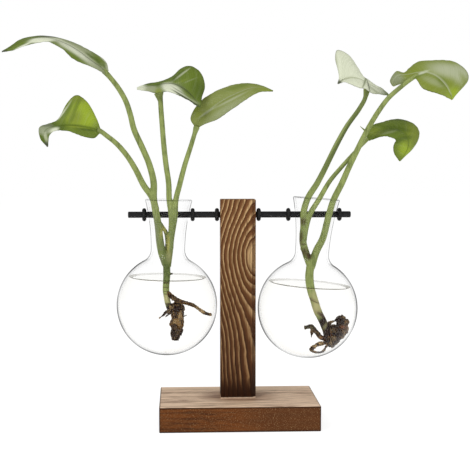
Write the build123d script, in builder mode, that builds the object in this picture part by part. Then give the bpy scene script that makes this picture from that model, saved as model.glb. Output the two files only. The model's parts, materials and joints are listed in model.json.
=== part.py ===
"""A propagation vase: a burnt-wood stand, a metal rod and two glass bulbs with rooted cuttings.

The origin is the centre of the base's underside. +X is the viewer's right, +Y points away
from the viewer and +Z is up. Lengths are in millimetres and angles in degrees.
"""

from build123d import *
from collections import namedtuple
from math import asin, atan2, cos, degrees, radians, sin, sqrt
import os

os.makedirs("parts", exist_ok=True)

# Stand
base_width = 125.0
base_depth = 80.0
base_height = 20.0
post_width = 28.0
post_depth = 18.0
post_height = 158.5
post_bevel = 3.0
arris = 0.6

# Wood screws that hold the post on the base, from below
screw_spacing = 14.0
screw_length = 42.0
screw_point = 5.0
screw_shank_radius = 2.0
screw_head_radius = 4.0
screw_sink = 0.5
recess_length = 4.4
recess_width = 1.0
recess_depth = 1.4
countersink_angle = 90.0

# Rod, its bore in the post and the rubber stop rings on it
rod_diameter = 5.0
rod_below_top = 12.3
rod_chamfer = 0.5
left_rod_overhang = 11.2
right_rod_overhang = 7.4
running_fit = 0.05
ring_diameter = 10.4
ring_width = 3.2
ring_crest = 1.3
ring_to_post = 1.0
ring_to_glass = 0.3
loose_ring_to_glass = 2.4

# Glass bulbs: a sphere, a hollow shoulder and a neck that flares to the rim
bulb_radius = 40.0
glass_wall = 1.6
shoulder_radius = 10.0
neck_radius = 13.5
rim_radius = 18.6
left_neck_length = 39.0
right_neck_length = 43.3
hole_diameter = 8.4
hole_below_rim = 12.4
left_bulb_to_post = 2.5
right_bulb_to_post = 2.0
hang_gap = 0.1
left_lean_share = 0.19
right_lean_share = 0.78

# Cuttings: the reach of their leaves above the rod, and the thickness of a leaf
left_spray_reach = 100.0
right_spray_reach = 100.0
leaf_rib_thickness = 1.0
leaf_edge_thickness = 0.6
leaf_crown_share = 0.08
shoot_steps = 10

# What follows from these sizes
rod_radius = rod_diameter / 2
rod_height = base_height + post_height - rod_below_top
ring_radius = ring_diameter / 2
hole_radius = hole_diameter / 2
hole_clearance = hole_radius - rod_radius
neck_room = neck_radius - glass_wall
bulb_room = bulb_radius - glass_wall
neck_height = sqrt(
    (bulb_radius + shoulder_radius) ** 2 - (neck_radius + shoulder_radius) ** 2
)
overrun = 2 * bulb_radius

# Stalks, from the fork to the leaf. Inside the neck, from the holes' centre: shares of the
# neck's room in X and Y, and of the height from the bulb's centre to the holes in Z.
left_stalk_a_neck_shares = [
    (-0.10, -0.06, -0.54),
    (-0.38, -0.26, -0.41),
    (-0.56, -0.48, -0.25),
    (-0.63, -0.52, -0.14),
    (-0.77, -0.57, 0.00),
]
left_stalk_c_neck_shares = [
    (0.14, -0.34, -0.36),
    (0.21, -0.54, -0.16),
    (0.20, -0.60, 0.00),
]
left_stalk_d_neck_shares = [
    (-0.02, -0.06, -0.56),
    (0.10, -0.26, -0.42),
    (0.24, -0.52, -0.20),
    (0.42, -0.60, 0.00),
]
right_stalk_e_neck_shares = [
    (0.02, 0.00, -0.56),
    (-0.38, -0.10, -0.43),
    (-0.70, -0.25, -0.29),
    (-0.76, -0.40, -0.12),
    (-0.84, -0.46, 0.00),
]
right_stalk_g_neck_shares = [
    (-0.68, -0.26, -0.30),
    (-0.60, -0.38, -0.15),
    (-0.41, -0.46, 0.00),
]
right_stalk_f_neck_shares = [
    (0.02, 0.00, -0.56),
    (0.28, -0.12, -0.38),
    (0.60, -0.26, -0.25),
    (0.77, -0.42, -0.09),
    (0.85, -0.48, 0.00),
]

# Above the holes, from their centre: shares of the spray's reach
left_stalk_a_shares = [
    (-0.117, -0.073, 0.138),
    (-0.120, -0.086, 0.271),
    (-0.154, -0.093, 0.404),
    (-0.220, -0.100, 0.555),
    (-0.279, -0.106, 0.682),
    (-0.309, -0.113, 0.797),
    (-0.341, -0.120, 0.889),
    (-0.405, -0.130, 0.999),
    (-0.459, -0.136, 1.066),
    (-0.494, -0.140, 1.104),
]
left_stalk_b_shares = [
    (-0.100, -0.070, 0.050),
    (-0.121, -0.076, 0.130),
    (-0.200, -0.110, 0.251),
    (-0.262, -0.140, 0.371),
    (-0.331, -0.170, 0.478),
    (-0.423, -0.200, 0.578),
    (-0.477, -0.220, 0.619),
    (-0.532, -0.240, 0.657),
]
left_stalk_c_shares = [
    (0.004, -0.070, 0.140),
    (-0.001, -0.066, 0.250),
    (-0.025, -0.046, 0.406),
    (-0.045, -0.022, 0.563),
    (-0.061, 0.000, 0.721),
    (-0.076, 0.030, 0.895),
    (-0.083, 0.042, 1.011),
]
left_stalk_d_shares = [
    (0.058, -0.066, 0.140),
    (0.084, -0.060, 0.251),
    (0.123, -0.032, 0.409),
    (0.171, 0.002, 0.568),
    (0.212, 0.040, 0.712),
]
right_stalk_e_shares = [
    (-0.076, -0.050, 0.124),
    (-0.008, -0.042, 0.255),
    (0.044, -0.028, 0.373),
    (0.092, -0.014, 0.491),
    (0.142, -0.002, 0.609),
    (0.200, 0.012, 0.728),
    (0.289, 0.030, 0.872),
    (0.327, 0.040, 0.952),
    (0.340, 0.050, 1.044),
]
right_stalk_g_shares = [
    (0.014, -0.054, 0.126),
    (0.095, -0.050, 0.287),
    (0.165, -0.040, 0.383),
    (0.241, -0.024, 0.480),
    (0.319, -0.003, 0.575),
    (0.375, 0.020, 0.636),
]
right_stalk_f_shares = [
    (0.128, -0.060, 0.124),
    (0.185, -0.068, 0.271),
    (0.224, -0.074, 0.387),
    (0.268, -0.082, 0.504),
    (0.313, -0.092, 0.621),
    (0.361, -0.106, 0.737),
    (0.417, -0.120, 0.853),
    (0.486, -0.134, 0.964),
    (0.563, -0.150, 1.046),
    (0.635, -0.158, 1.113),
    (0.700, -0.150, 1.161),
]

# A stalk's radius at the fork and at the leaf: shares of the neck's room
left_stalk_a_radius_shares = (0.20, 0.165)
left_stalk_b_radius_shares = (0.18, 0.155)
left_stalk_c_radius_shares = (0.165, 0.175)
left_stalk_d_radius_shares = (0.19, 0.16)
right_stalk_e_radius_shares = (0.21, 0.125)
right_stalk_g_radius_shares = (0.18, 0.13)
right_stalk_f_radius_shares = (0.22, 0.15)

# Inside the bulb, from its centre: shares of the bulb's room
left_crown_shares = [
    (-0.020, -0.010, 0.900),
    (-0.018, 0.000, 0.580),
    (-0.024, 0.000, 0.270),
    (0.025, 0.000, 0.010),
    (0.060, 0.000, -0.090),
]
left_crown_radius_shares = (0.080, 0.060)
# The last two values are the plug's half width and half depth
left_plug_shares = [
    (0.200, 0.000, 0.08, 0.040, 0.040),
    (0.218, 0.000, 0.00, 0.105, 0.105),
    (0.225, 0.000, -0.10, 0.125, 0.120),
    (0.215, 0.000, -0.35, 0.130, 0.125),
    (0.195, 0.000, -0.58, 0.110, 0.105),
    (0.175, 0.000, -0.74, 0.060, 0.060),
]
left_long_root_shares = [
    (0.010, -0.020, 0.260),
    (0.160, -0.140, 0.150),
    (0.365, -0.260, 0.085),
    (0.565, -0.310, 0.030),
    (0.716, -0.310, -0.080),
    (0.830, -0.290, -0.140),
    (0.914, -0.255, -0.156),
]
left_long_root_radius_shares = (0.042, 0.030)
right_crown_shares = [
    (0.010, 0.000, 1.000),
    (-0.016, 0.000, 0.670),
    (0.039, 0.000, 0.395),
    (0.120, 0.000, 0.195),
    (0.219, 0.000, -0.050),
    (0.360, 0.000, -0.290),
    (0.450, 0.000, -0.480),
    (0.485, 0.000, -0.680),
]
right_crown_radius_shares = (0.090, 0.082)
right_mass_shares = [
    (0.765, 0.000, -0.235, 0.050, 0.045),
    (0.730, 0.000, -0.360, 0.130, 0.100),
    (0.650, 0.000, -0.550, 0.125, 0.110),
    (0.560, 0.000, -0.690, 0.090, 0.085),
    (0.510, 0.000, -0.780, 0.035, 0.035),
]
right_finger_shares = [
    (0.480, -0.005, -0.605),
    (0.340, -0.026, -0.600),
    (0.235, -0.052, -0.500),
    (0.117, -0.078, -0.380),
    (-0.045, -0.104, -0.405),
]
right_finger_radius_shares = (0.050, 0.040)
right_loop_arm_shares = [
    (0.480, -0.020, -0.680),
    (0.240, -0.130, -0.750),
    (0.100, -0.190, -0.850),
]
right_loop_arm_radius_shares = (0.046, 0.036)
right_loop_return_shares = [
    (0.105, -0.190, -0.852),
    (0.250, -0.215, -0.888),
    (0.380, -0.170, -0.860),
    (0.460, -0.080, -0.740),
]
right_loop_return_radius_shares = (0.022, 0.024)

# Leaves: rows from the base to the tip, in shares of the spray's reach from the holes'
# centre. Each row has a point of the midrib, of the far edge and of the near edge.
left_leaf_a_shares = [
    ((-0.494, -0.140, 1.104), (-0.480, -0.125, 1.129), (-0.505, -0.155, 1.090)),
    ((-0.529, -0.140, 1.136), (-0.501, -0.040, 1.193), (-0.536, -0.220, 1.112)),
    ((-0.622, -0.140, 1.201), (-0.600, -0.010, 1.271), (-0.634, -0.260, 1.154)),
    ((-0.726, -0.140, 1.275), (-0.717, 0.010, 1.331), (-0.745, -0.280, 1.202)),
    ((-0.823, -0.140, 1.326), (-0.825, 0.010, 1.364), (-0.827, -0.260, 1.272)),
    ((-0.931, -0.135, 1.359), (-0.940, -0.020, 1.385), (-0.928, -0.230, 1.326)),
    ((-1.040, -0.125, 1.363), (-1.049, -0.050, 1.385), (-1.027, -0.190, 1.319)),
    ((-1.132, -0.120, 1.339), (-1.155, -0.065, 1.361), (-1.111, -0.160, 1.300)),
    ((-1.225, -0.110, 1.290), (-1.241, -0.080, 1.303), (-1.210, -0.130, 1.268)),
    ((-1.303, -0.100, 1.257), (-1.304, -0.094, 1.262), (-1.302, -0.106, 1.252)),
]
left_leaf_b_shares = [
    ((-0.532, -0.240, 0.657), (-0.530, -0.235, 0.677), (-0.535, -0.245, 0.638)),
    ((-0.562, -0.250, 0.666), (-0.565, -0.205, 0.761), (-0.562, -0.290, 0.606)),
    ((-0.603, -0.260, 0.675), (-0.611, -0.185, 0.845), (-0.598, -0.320, 0.599)),
    ((-0.652, -0.270, 0.682), (-0.662, -0.175, 0.905), (-0.646, -0.335, 0.610)),
    ((-0.719, -0.290, 0.689), (-0.731, -0.180, 0.928), (-0.713, -0.350, 0.631)),
    ((-0.778, -0.305, 0.690), (-0.792, -0.220, 0.859), (-0.773, -0.355, 0.649)),
    ((-0.837, -0.320, 0.685), (-0.849, -0.280, 0.741), (-0.828, -0.360, 0.653)),
    ((-0.895, -0.340, 0.674), (-0.917, -0.310, 0.704), (-0.873, -0.365, 0.643)),
    ((-0.939, -0.360, 0.642), (-0.984, -0.335, 0.671), (-0.899, -0.375, 0.616)),
    ((-0.941, -0.375, 0.589), (-0.972, -0.365, 0.589), (-0.907, -0.380, 0.588)),
    ((-0.914, -0.380, 0.527), (-0.918, -0.380, 0.526), (-0.910, -0.380, 0.529)),
]
left_leaf_c_shares = [
    ((-0.265, 0.060, 1.006), (-0.266, 0.070, 1.015), (-0.265, 0.050, 0.996)),
    ((-0.190, 0.055, 1.020), (-0.192, 0.110, 1.048), (-0.188, -0.010, 0.983)),
    ((-0.115, 0.050, 1.031), (-0.118, 0.150, 1.064), (-0.112, -0.070, 0.967)),
    ((-0.040, 0.035, 1.044), (-0.035, 0.160, 1.089), (-0.041, -0.090, 0.975)),
    ((-0.000, 0.020, 1.044), (0.018, 0.155, 1.119), (-0.007, -0.095, 0.974)),
    ((0.039, 0.008, 1.036), (0.077, 0.145, 1.180), (0.023, -0.100, 0.968)),
    ((0.075, -0.006, 1.020), (0.147, 0.125, 1.201), (0.048, -0.110, 0.956)),
    ((0.110, -0.020, 0.998), (0.211, 0.110, 1.174), (0.079, -0.113, 0.944)),
    ((0.147, -0.040, 0.967), (0.258, 0.080, 1.108), (0.112, -0.115, 0.926)),
    ((0.178, -0.060, 0.935), (0.272, 0.030, 1.026), (0.148, -0.116, 0.908)),
    ((0.208, -0.082, 0.900), (0.251, -0.030, 0.949), (0.191, -0.112, 0.883)),
    ((0.234, -0.100, 0.862), (0.238, -0.097, 0.866), (0.230, -0.103, 0.860)),
]
left_leaf_d_shares = [
    ((0.212, 0.040, 0.712), (0.194, 0.042, 0.717), (0.229, 0.038, 0.706)),
    ((0.230, 0.030, 0.767), (0.162, 0.035, 0.774), (0.269, 0.000, 0.731)),
    ((0.290, 0.020, 0.827), (0.212, 0.055, 0.887), (0.351, -0.050, 0.762)),
    ((0.401, 0.000, 0.912), (0.343, 0.070, 0.990), (0.465, -0.080, 0.836)),
    ((0.528, -0.020, 0.980), (0.499, 0.060, 1.055), (0.567, -0.090, 0.911)),
    ((0.649, -0.040, 1.025), (0.640, 0.015, 1.064), (0.671, -0.085, 0.977)),
    ((0.736, -0.050, 1.026), (0.737, -0.030, 1.040), (0.733, -0.070, 0.997)),
    ((0.806, -0.060, 1.003), (0.809, -0.057, 1.008), (0.804, -0.063, 0.999)),
]
right_leaf_e_shares = [
    ((0.525, 0.120, 1.005), (0.530, 0.128, 1.012), (0.520, 0.112, 0.997)),
    ((0.459, 0.095, 1.033), (0.475, 0.130, 1.053), (0.438, 0.030, 0.997)),
    ((0.397, 0.075, 1.055), (0.414, 0.130, 1.080), (0.367, -0.005, 1.000)),
    ((0.339, 0.055, 1.078), (0.359, 0.125, 1.110), (0.306, -0.030, 1.025)),
    ((0.278, 0.042, 1.101), (0.303, 0.135, 1.153), (0.253, -0.048, 1.031)),
    ((0.236, 0.035, 1.106), (0.254, 0.165, 1.229), (0.219, -0.056, 1.040)),
    ((0.195, 0.026, 1.102), (0.188, 0.182, 1.304), (0.186, -0.060, 1.050)),
    ((0.167, 0.018, 1.093), (0.125, 0.180, 1.332), (0.160, -0.060, 1.057)),
    ((0.147, 0.010, 1.085), (0.080, 0.155, 1.322), (0.138, -0.055, 1.062)),
    ((0.134, 0.004, 1.078), (0.073, 0.125, 1.261), (0.126, -0.050, 1.062)),
    ((0.119, -0.004, 1.069), (0.092, 0.080, 1.184), (0.114, -0.042, 1.058)),
    ((0.105, -0.012, 1.060), (0.104, 0.030, 1.110), (0.102, -0.030, 1.052)),
    ((0.092, -0.020, 1.050), (0.090, -0.017, 1.053), (0.094, -0.023, 1.046)),
]
right_leaf_f_shares = [
    ((0.526, -0.050, 1.066), (0.519, -0.044, 1.070), (0.534, -0.056, 1.061)),
    ((0.526, -0.060, 1.108), (0.504, -0.030, 1.113), (0.566, -0.090, 1.077)),
    ((0.553, -0.075, 1.147), (0.549, -0.020, 1.185), (0.593, -0.110, 1.088)),
    ((0.602, -0.090, 1.154), (0.610, -0.015, 1.178), (0.623, -0.125, 1.112)),
    ((0.651, -0.105, 1.163), (0.647, -0.015, 1.217), (0.659, -0.140, 1.138)),
    ((0.697, -0.124, 1.175), (0.701, -0.015, 1.265), (0.680, -0.190, 1.119)),
    ((0.749, -0.144, 1.182), (0.770, -0.020, 1.289), (0.713, -0.245, 1.060)),
    ((0.799, -0.164, 1.174), (0.849, -0.020, 1.299), (0.747, -0.270, 1.037)),
    ((0.846, -0.184, 1.150), (0.937, -0.030, 1.305), (0.789, -0.284, 1.025)),
    ((0.883, -0.202, 1.117), (1.007, -0.050, 1.293), (0.826, -0.290, 1.017)),
    ((0.912, -0.222, 1.080), (1.079, -0.090, 1.242), (0.864, -0.294, 1.006)),
    ((0.932, -0.244, 1.040), (1.102, -0.145, 1.169), (0.897, -0.294, 0.997)),
    ((0.946, -0.264, 1.006), (1.062, -0.190, 1.099), (0.926, -0.290, 0.987)),
    ((0.951, -0.274, 0.990), (0.997, -0.245, 1.029), (0.938, -0.288, 0.982)),
    ((0.955, -0.280, 0.979), (0.960, -0.277, 0.984), (0.950, -0.283, 0.975)),
]
right_leaf_g_shares = [
    ((0.375, 0.020, 0.636), (0.364, 0.030, 0.651), (0.386, 0.010, 0.620)),
    ((0.433, 0.030, 0.689), (0.413, 0.110, 0.745), (0.440, -0.050, 0.647)),
    ((0.510, 0.025, 0.723), (0.510, 0.125, 0.791), (0.502, -0.070, 0.666)),
    ((0.560, 0.015, 0.733), (0.571, 0.127, 0.810), (0.543, -0.084, 0.656)),
    ((0.606, 0.000, 0.732), (0.643, 0.124, 0.818), (0.572, -0.096, 0.644)),
    ((0.644, -0.020, 0.712), (0.713, 0.106, 0.808), (0.576, -0.108, 0.633)),
    ((0.673, -0.042, 0.680), (0.770, 0.076, 0.770), (0.565, -0.120, 0.616)),
    ((0.684, -0.066, 0.640), (0.792, 0.050, 0.718), (0.557, -0.128, 0.589)),
    ((0.681, -0.086, 0.598), (0.774, 0.010, 0.645), (0.559, -0.130, 0.558)),
    ((0.665, -0.102, 0.557), (0.720, -0.040, 0.571), (0.570, -0.130, 0.528)),
    ((0.644, -0.115, 0.517), (0.668, -0.086, 0.522), (0.592, -0.130, 0.503)),
    ((0.620, -0.125, 0.478), (0.625, -0.122, 0.480), (0.614, -0.128, 0.476)),
]

Vase = namedtuple("Vase", "holes bulb hole_height flare lean drop reach_out")


def flare_of(neck_length):
    """The radius of the neck's flare: it starts upright and ends at the rim."""
    spread = rim_radius - neck_radius
    return (neck_length**2 + spread**2) / (2 * spread)


def neck_radius_at(above_neck, flare):
    """The outer radius of the neck at a height above its narrowest place."""
    return neck_radius + flare - sqrt(flare**2 - above_neck**2)


def hang_vase(side, bulb_to_post, neck_length, lean_share):
    """Where a vase hangs: its frames at the holes' centre and at the bulb's centre.

    It tips in its holes by a share of what their clearance on the rod allows.
    """
    flare = flare_of(neck_length)
    hole_above_neck = neck_length - hole_below_rim
    wall_at_hole = neck_radius_at(hole_above_neck, flare)
    lean = lean_share * degrees(asin((hole_clearance - hang_gap) / wall_at_hole))
    drop = hole_clearance - hang_gap - wall_at_hole * sin(radians(lean))
    hole_height = neck_height + hole_above_neck
    bulb_x = side * (post_width / 2 + bulb_to_post + bulb_radius)
    upright = Vector(sin(radians(lean)), 0, cos(radians(lean)))
    level = Vector(cos(radians(lean)), 0, -sin(radians(lean)))
    holes = Vector(bulb_x + hole_height * upright.X, 0, rod_height - drop)
    ring_top = hole_above_neck + ring_radius + drop
    reach_out = neck_radius_at(ring_top, flare) + (ring_radius + drop) * upright.X
    return Vase(
        Plane(origin=holes, x_dir=level, z_dir=upright),
        Plane(origin=holes - upright * hole_height, x_dir=level, z_dir=upright),
        hole_height,
        flare,
        lean,
        drop,
        reach_out,
    )


left_vase = hang_vase(-1, left_bulb_to_post, left_neck_length, left_lean_share)
right_vase = hang_vase(1, right_bulb_to_post, right_neck_length, right_lean_share)


def save(builder, name):
    """Label a finished piece and write it under its own name."""
    builder.part.label = name
    export_step(builder.part, f"parts/{name}.step")


# The base block, with countersunk screw holes from below
with BuildPart() as base_block:
    Box(base_width, base_depth, base_height, align=(Align.CENTER, Align.CENTER, Align.MIN))
    chamfer(base_block.edges(), arris)
    with Locations(Plane(origin=(0, 0, 0), z_dir=(0, 0, -1))):
        with GridLocations(screw_spacing, 0, 2, 1):
            CounterSinkHole(
                screw_shank_radius + running_fit,
                screw_head_radius + screw_sink + running_fit,
                counter_sink_angle=countersink_angle,
            )
save(base_block, "base_block")

# The post, with a bevel on its front right edge, the rod's bore and the screws' pilot holes
with BuildPart() as post:
    with Locations((0, 0, base_height)):
        Box(post_width, post_depth, post_height, align=(Align.CENTER, Align.CENTER, Align.MIN))
    front_right = post.edges().filter_by(Axis.Z).group_by(Axis.X)[-1].sort_by(Axis.Y)[0]
    chamfer(front_right, post_bevel)
    chamfer(post.faces().sort_by(Axis.Z)[-1].edges(), arris)
    with BuildSketch(Plane.YZ) as bore:
        with Locations((0, rod_height)):
            Circle(rod_radius + running_fit)
    extrude(amount=post_width, both=True, mode=Mode.SUBTRACT)
    with BuildSketch(Plane.XY.offset(base_height)):
        with GridLocations(screw_spacing, 0, 2, 1):
            Circle(screw_shank_radius + running_fit)
    extrude(
        amount=screw_length + screw_sink + running_fit - base_height, mode=Mode.SUBTRACT
    )
save(post, "post")

# The two screws: a turned outline with a flat countersunk head, and a cross recess
head_height = screw_head_radius - screw_shank_radius
with BuildPart() as post_screws:
    for side in (-1, 1):
        foot = Vector(side * screw_spacing / 2, 0, screw_sink)
        with BuildSketch(Plane(origin=foot, x_dir=(1, 0, 0), z_dir=(0, -1, 0))):
            with BuildLine():
                Polyline(
                    (0, 0),
                    (screw_head_radius, 0),
                    (screw_shank_radius, head_height),
                    (screw_shank_radius, screw_length - screw_point),
                    (0, screw_length),
                    close=True,
                )
            make_face()
        revolve(axis=Axis(foot, (0, 0, 1)))
        with BuildSketch(Plane(origin=foot)):
            Rectangle(recess_length, recess_width)
            Rectangle(recess_width, recess_length)
        extrude(amount=recess_depth, mode=Mode.SUBTRACT)
save(post_screws, "post_screws")

# Stop rings: where each one's centre lies on the rod
post_ring_place = post_width / 2 + ring_to_post + ring_width / 2
glass_ring_offset = ring_to_glass + ring_width / 2
loose_ring_offset = loose_ring_to_glass + ring_width / 2
ring_places = {
    "left_outer_ring": left_vase.holes.origin.X - left_vase.reach_out - glass_ring_offset,
    "left_inner_ring": left_vase.holes.origin.X + left_vase.reach_out + glass_ring_offset,
    "left_post_ring": -post_ring_place,
    "right_post_ring": post_ring_place,
    "right_inner_ring": right_vase.holes.origin.X - right_vase.reach_out - loose_ring_offset,
    "right_outer_ring": right_vase.holes.origin.X + right_vase.reach_out + glass_ring_offset,
}


def make_ring(place):
    """A rubber ring turned about the rod: flat sides and a rounded crest."""
    half = ring_width / 2
    bore = rod_radius + running_fit
    with BuildPart() as ring:
        with BuildSketch(Plane(origin=(place, 0, rod_height), x_dir=(1, 0, 0), z_dir=(0, -1, 0))):
            with BuildLine():
                Polyline(
                    (-half, ring_radius - ring_crest),
                    (-half, bore),
                    (half, bore),
                    (half, ring_radius - ring_crest),
                )
                ThreePointArc(
                    (half, ring_radius - ring_crest),
                    (0, ring_radius),
                    (-half, ring_radius - ring_crest),
                )
            make_face()
        revolve(axis=Axis((place, 0, rod_height), (1, 0, 0)))
    return ring


for name, place in ring_places.items():
    save(make_ring(place), name)

# The rod, with chamfered ends past the outer rings
rod_left = ring_places["left_outer_ring"] - ring_width / 2 - left_rod_overhang
rod_right = ring_places["right_outer_ring"] + ring_width / 2 + right_rod_overhang
with BuildPart() as rod:
    with BuildSketch(Plane(origin=(rod_left, 0, rod_height), z_dir=(1, 0, 0))):
        Circle(rod_radius)
    extrude(amount=rod_right - rod_left)
    chamfer(rod.edges().filter_by(GeomType.CIRCLE), rod_chamfer)
save(rod, "rod")


def make_glass(vase, neck_length):
    """A blown vase: one outline of outer arcs, a rounded rim and inner arcs, turned once."""
    shoulder_tip = degrees(atan2(neck_height, neck_radius + shoulder_radius))
    flare_sweep = degrees(asin(neck_length / vase.flare))
    pip = (neck_radius + shoulder_radius, neck_height)
    hub = (neck_radius + vase.flare, neck_height)
    rise = Vector(sin(radians(flare_sweep)), cos(radians(flare_sweep)))
    inward = Vector(-cos(radians(flare_sweep)), sin(radians(flare_sweep)))
    rim_middle = Vector(*hub) + inward * (vase.flare + glass_wall / 2)
    outline = Plane(origin=vase.bulb.origin, x_dir=vase.bulb.x_dir, z_dir=(0, -1, 0))
    with BuildPart() as glass:
        with BuildSketch(outline):
            with BuildLine():
                for inset in (0, glass_wall):
                    CenterArc((0, 0), bulb_radius - inset, -90, 90 + shoulder_tip)
                    CenterArc(pip, shoulder_radius + inset, 180 + shoulder_tip, -shoulder_tip)
                    CenterArc(hub, vase.flare + inset, 180, -flare_sweep)
                ThreePointArc(
                    rim_middle - inward * (glass_wall / 2),
                    rim_middle + rise * (glass_wall / 2),
                    rim_middle + inward * (glass_wall / 2),
                )
                Line((0, -bulb_radius), (0, -bulb_room))
            make_face()
        revolve(axis=Axis(vase.bulb.origin, vase.bulb.z_dir))
        with BuildSketch(Plane(origin=vase.holes.origin, z_dir=vase.holes.x_dir)):
            Circle(hole_radius)
        extrude(amount=overrun, both=True, mode=Mode.SUBTRACT)
    return glass


left_glass = make_glass(left_vase, left_neck_length)
save(left_glass, "left_glass")
right_glass = make_glass(right_vase, right_neck_length)
save(right_glass, "right_glass")


def in_neck(vase, rows):
    """The places of rows of neck shares."""
    return [
        vase.holes.from_local_coords(Vector(x * neck_room, y * neck_room, z * vase.hole_height))
        for x, y, z in rows
    ]


def in_spray(vase, reach, rows):
    """The places of rows of spray shares."""
    return [vase.holes.from_local_coords(Vector(*row) * reach) for row in rows]


def in_bulb(vase, rows):
    """The places of rows of bulb shares."""
    return [vase.bulb.from_local_coords(Vector(*row) * bulb_room) for row in rows]


def neighbours(places):
    """Each place with the one before it and the one after it."""
    return zip([places[0], *places], places, [*places[1:], places[-1]])


def make_shoot(places, room, radius_shares, *taken):
    """A round shoot along a smooth line, less the pieces that it grows from.

    It tapers evenly between its two radii, which are shares of the room that it has.
    """
    start_radius, end_radius = (share * room for share in radius_shares)
    with BuildPart() as shoot:
        with BuildLine() as route:
            Spline(*places)
        for step in range(shoot_steps + 1):
            at = step / shoot_steps
            along = route.line % at
            across = Vector(0, 1, 0).cross(along).normalized()
            with BuildSketch(Plane(origin=route.line @ at, x_dir=across, z_dir=along)):
                Circle(start_radius + (end_radius - start_radius) * at)
        loft()
        for piece in taken:
            add(piece.part, mode=Mode.SUBTRACT)
    return shoot


def make_lump(vase, rows, *taken):
    """An oval root body lofted along its places, less the pieces that it grows from."""
    places = in_bulb(vase, [row[:3] for row in rows])
    with BuildPart() as lump:
        for (before, at, after), row in zip(neighbours(places), rows):
            along = (after - before).normalized()
            across = Vector(0, 1, 0).cross(along).normalized()
            with BuildSketch(Plane(origin=at, x_dir=across, z_dir=along)):
                Ellipse(row[3] * bulb_room, row[4] * bulb_room)
        loft()
        for piece in taken:
            add(piece.part, mode=Mode.SUBTRACT)
    return lump


def make_leaf(vase, reach, rows, stem):
    """A leaf blade lofted through thin folded sections from its base to its tip."""
    places = [
        [vase.holes.from_local_coords(Vector(*point) * reach) for point in row] for row in rows
    ]
    ribs = [row[0] for row in places]
    with BuildPart() as leaf:
        for (before, rib, after), (_, far, near) in zip(neighbours(ribs), places):
            across = (far - near).normalized()
            along = after - before
            along = (along - across * along.dot(across)).normalized()
            section = Plane(origin=rib, x_dir=across, z_dir=along)
            far_edge = section.to_local_coords(far)
            near_edge = section.to_local_coords(near)
            far_edge = Vector(far_edge.X, far_edge.Y)
            near_edge = Vector(near_edge.X, near_edge.Y)
            far_up = Vector(-far_edge.Y, far_edge.X).normalized()
            near_up = Vector(near_edge.Y, -near_edge.X).normalized()
            far_crown = far_edge / 2 + far_up * (far_edge.length * leaf_crown_share)
            near_crown = near_edge / 2 + near_up * (near_edge.length * leaf_crown_share)
            middle_thickness = (leaf_rib_thickness + leaf_edge_thickness) / 2
            rib_under = Vector(0, -leaf_rib_thickness)
            far_under = far_edge - far_up * leaf_edge_thickness
            near_under = near_edge - near_up * leaf_edge_thickness
            with BuildSketch(section):
                with BuildLine():
                    ThreePointArc(far_edge, far_crown, (0, 0))
                    ThreePointArc((0, 0), near_crown, near_edge)
                    Line(near_edge, near_under)
                    ThreePointArc(near_under, near_crown - near_up * middle_thickness, rib_under)
                    ThreePointArc(rib_under, far_crown - far_up * middle_thickness, far_under)
                    Line(far_under, far_edge)
                make_face()
        loft(ruled=True)
        add(stem.part, mode=Mode.SUBTRACT)
    return leaf


def make_stem(vase, reach, crown, stalks):
    """The stem of a cutting: its crown in the bulb and the stalks that fork from it."""
    with BuildPart() as stem:
        add(crown.part)
        for neck_rows, spray_rows, radius_shares in stalks:
            places = in_neck(vase, neck_rows) + in_spray(vase, reach, spray_rows)
            add(make_shoot(places, neck_room, radius_shares).part)
    return stem


# The left cutting: its stem with four stalks, the roots and the leaves
left_stalks = [
    (left_stalk_a_neck_shares, left_stalk_a_shares, left_stalk_a_radius_shares),
    ([], left_stalk_b_shares, left_stalk_b_radius_shares),
    (left_stalk_c_neck_shares, left_stalk_c_shares, left_stalk_c_radius_shares),
    (left_stalk_d_neck_shares, left_stalk_d_shares, left_stalk_d_radius_shares),
]
left_crown = make_shoot(
    in_bulb(left_vase, left_crown_shares), bulb_room, left_crown_radius_shares
)
left_stem = make_stem(left_vase, left_spray_reach, left_crown, left_stalks)
save(left_stem, "left_cutting_stem")
left_root_plug = make_lump(left_vase, left_plug_shares, left_stem)
save(left_root_plug, "left_root_plug")
left_long_root = make_shoot(
    in_bulb(left_vase, left_long_root_shares),
    bulb_room,
    left_long_root_radius_shares,
    left_stem,
    left_root_plug,
)
save(left_long_root, "left_long_root")
left_leaves = {
    "left_leaf_a": left_leaf_a_shares,
    "left_leaf_b": left_leaf_b_shares,
    "left_leaf_c": left_leaf_c_shares,
    "left_leaf_d": left_leaf_d_shares,
}
for name, rows in left_leaves.items():
    save(make_leaf(left_vase, left_spray_reach, rows, left_stem), name)

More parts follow.
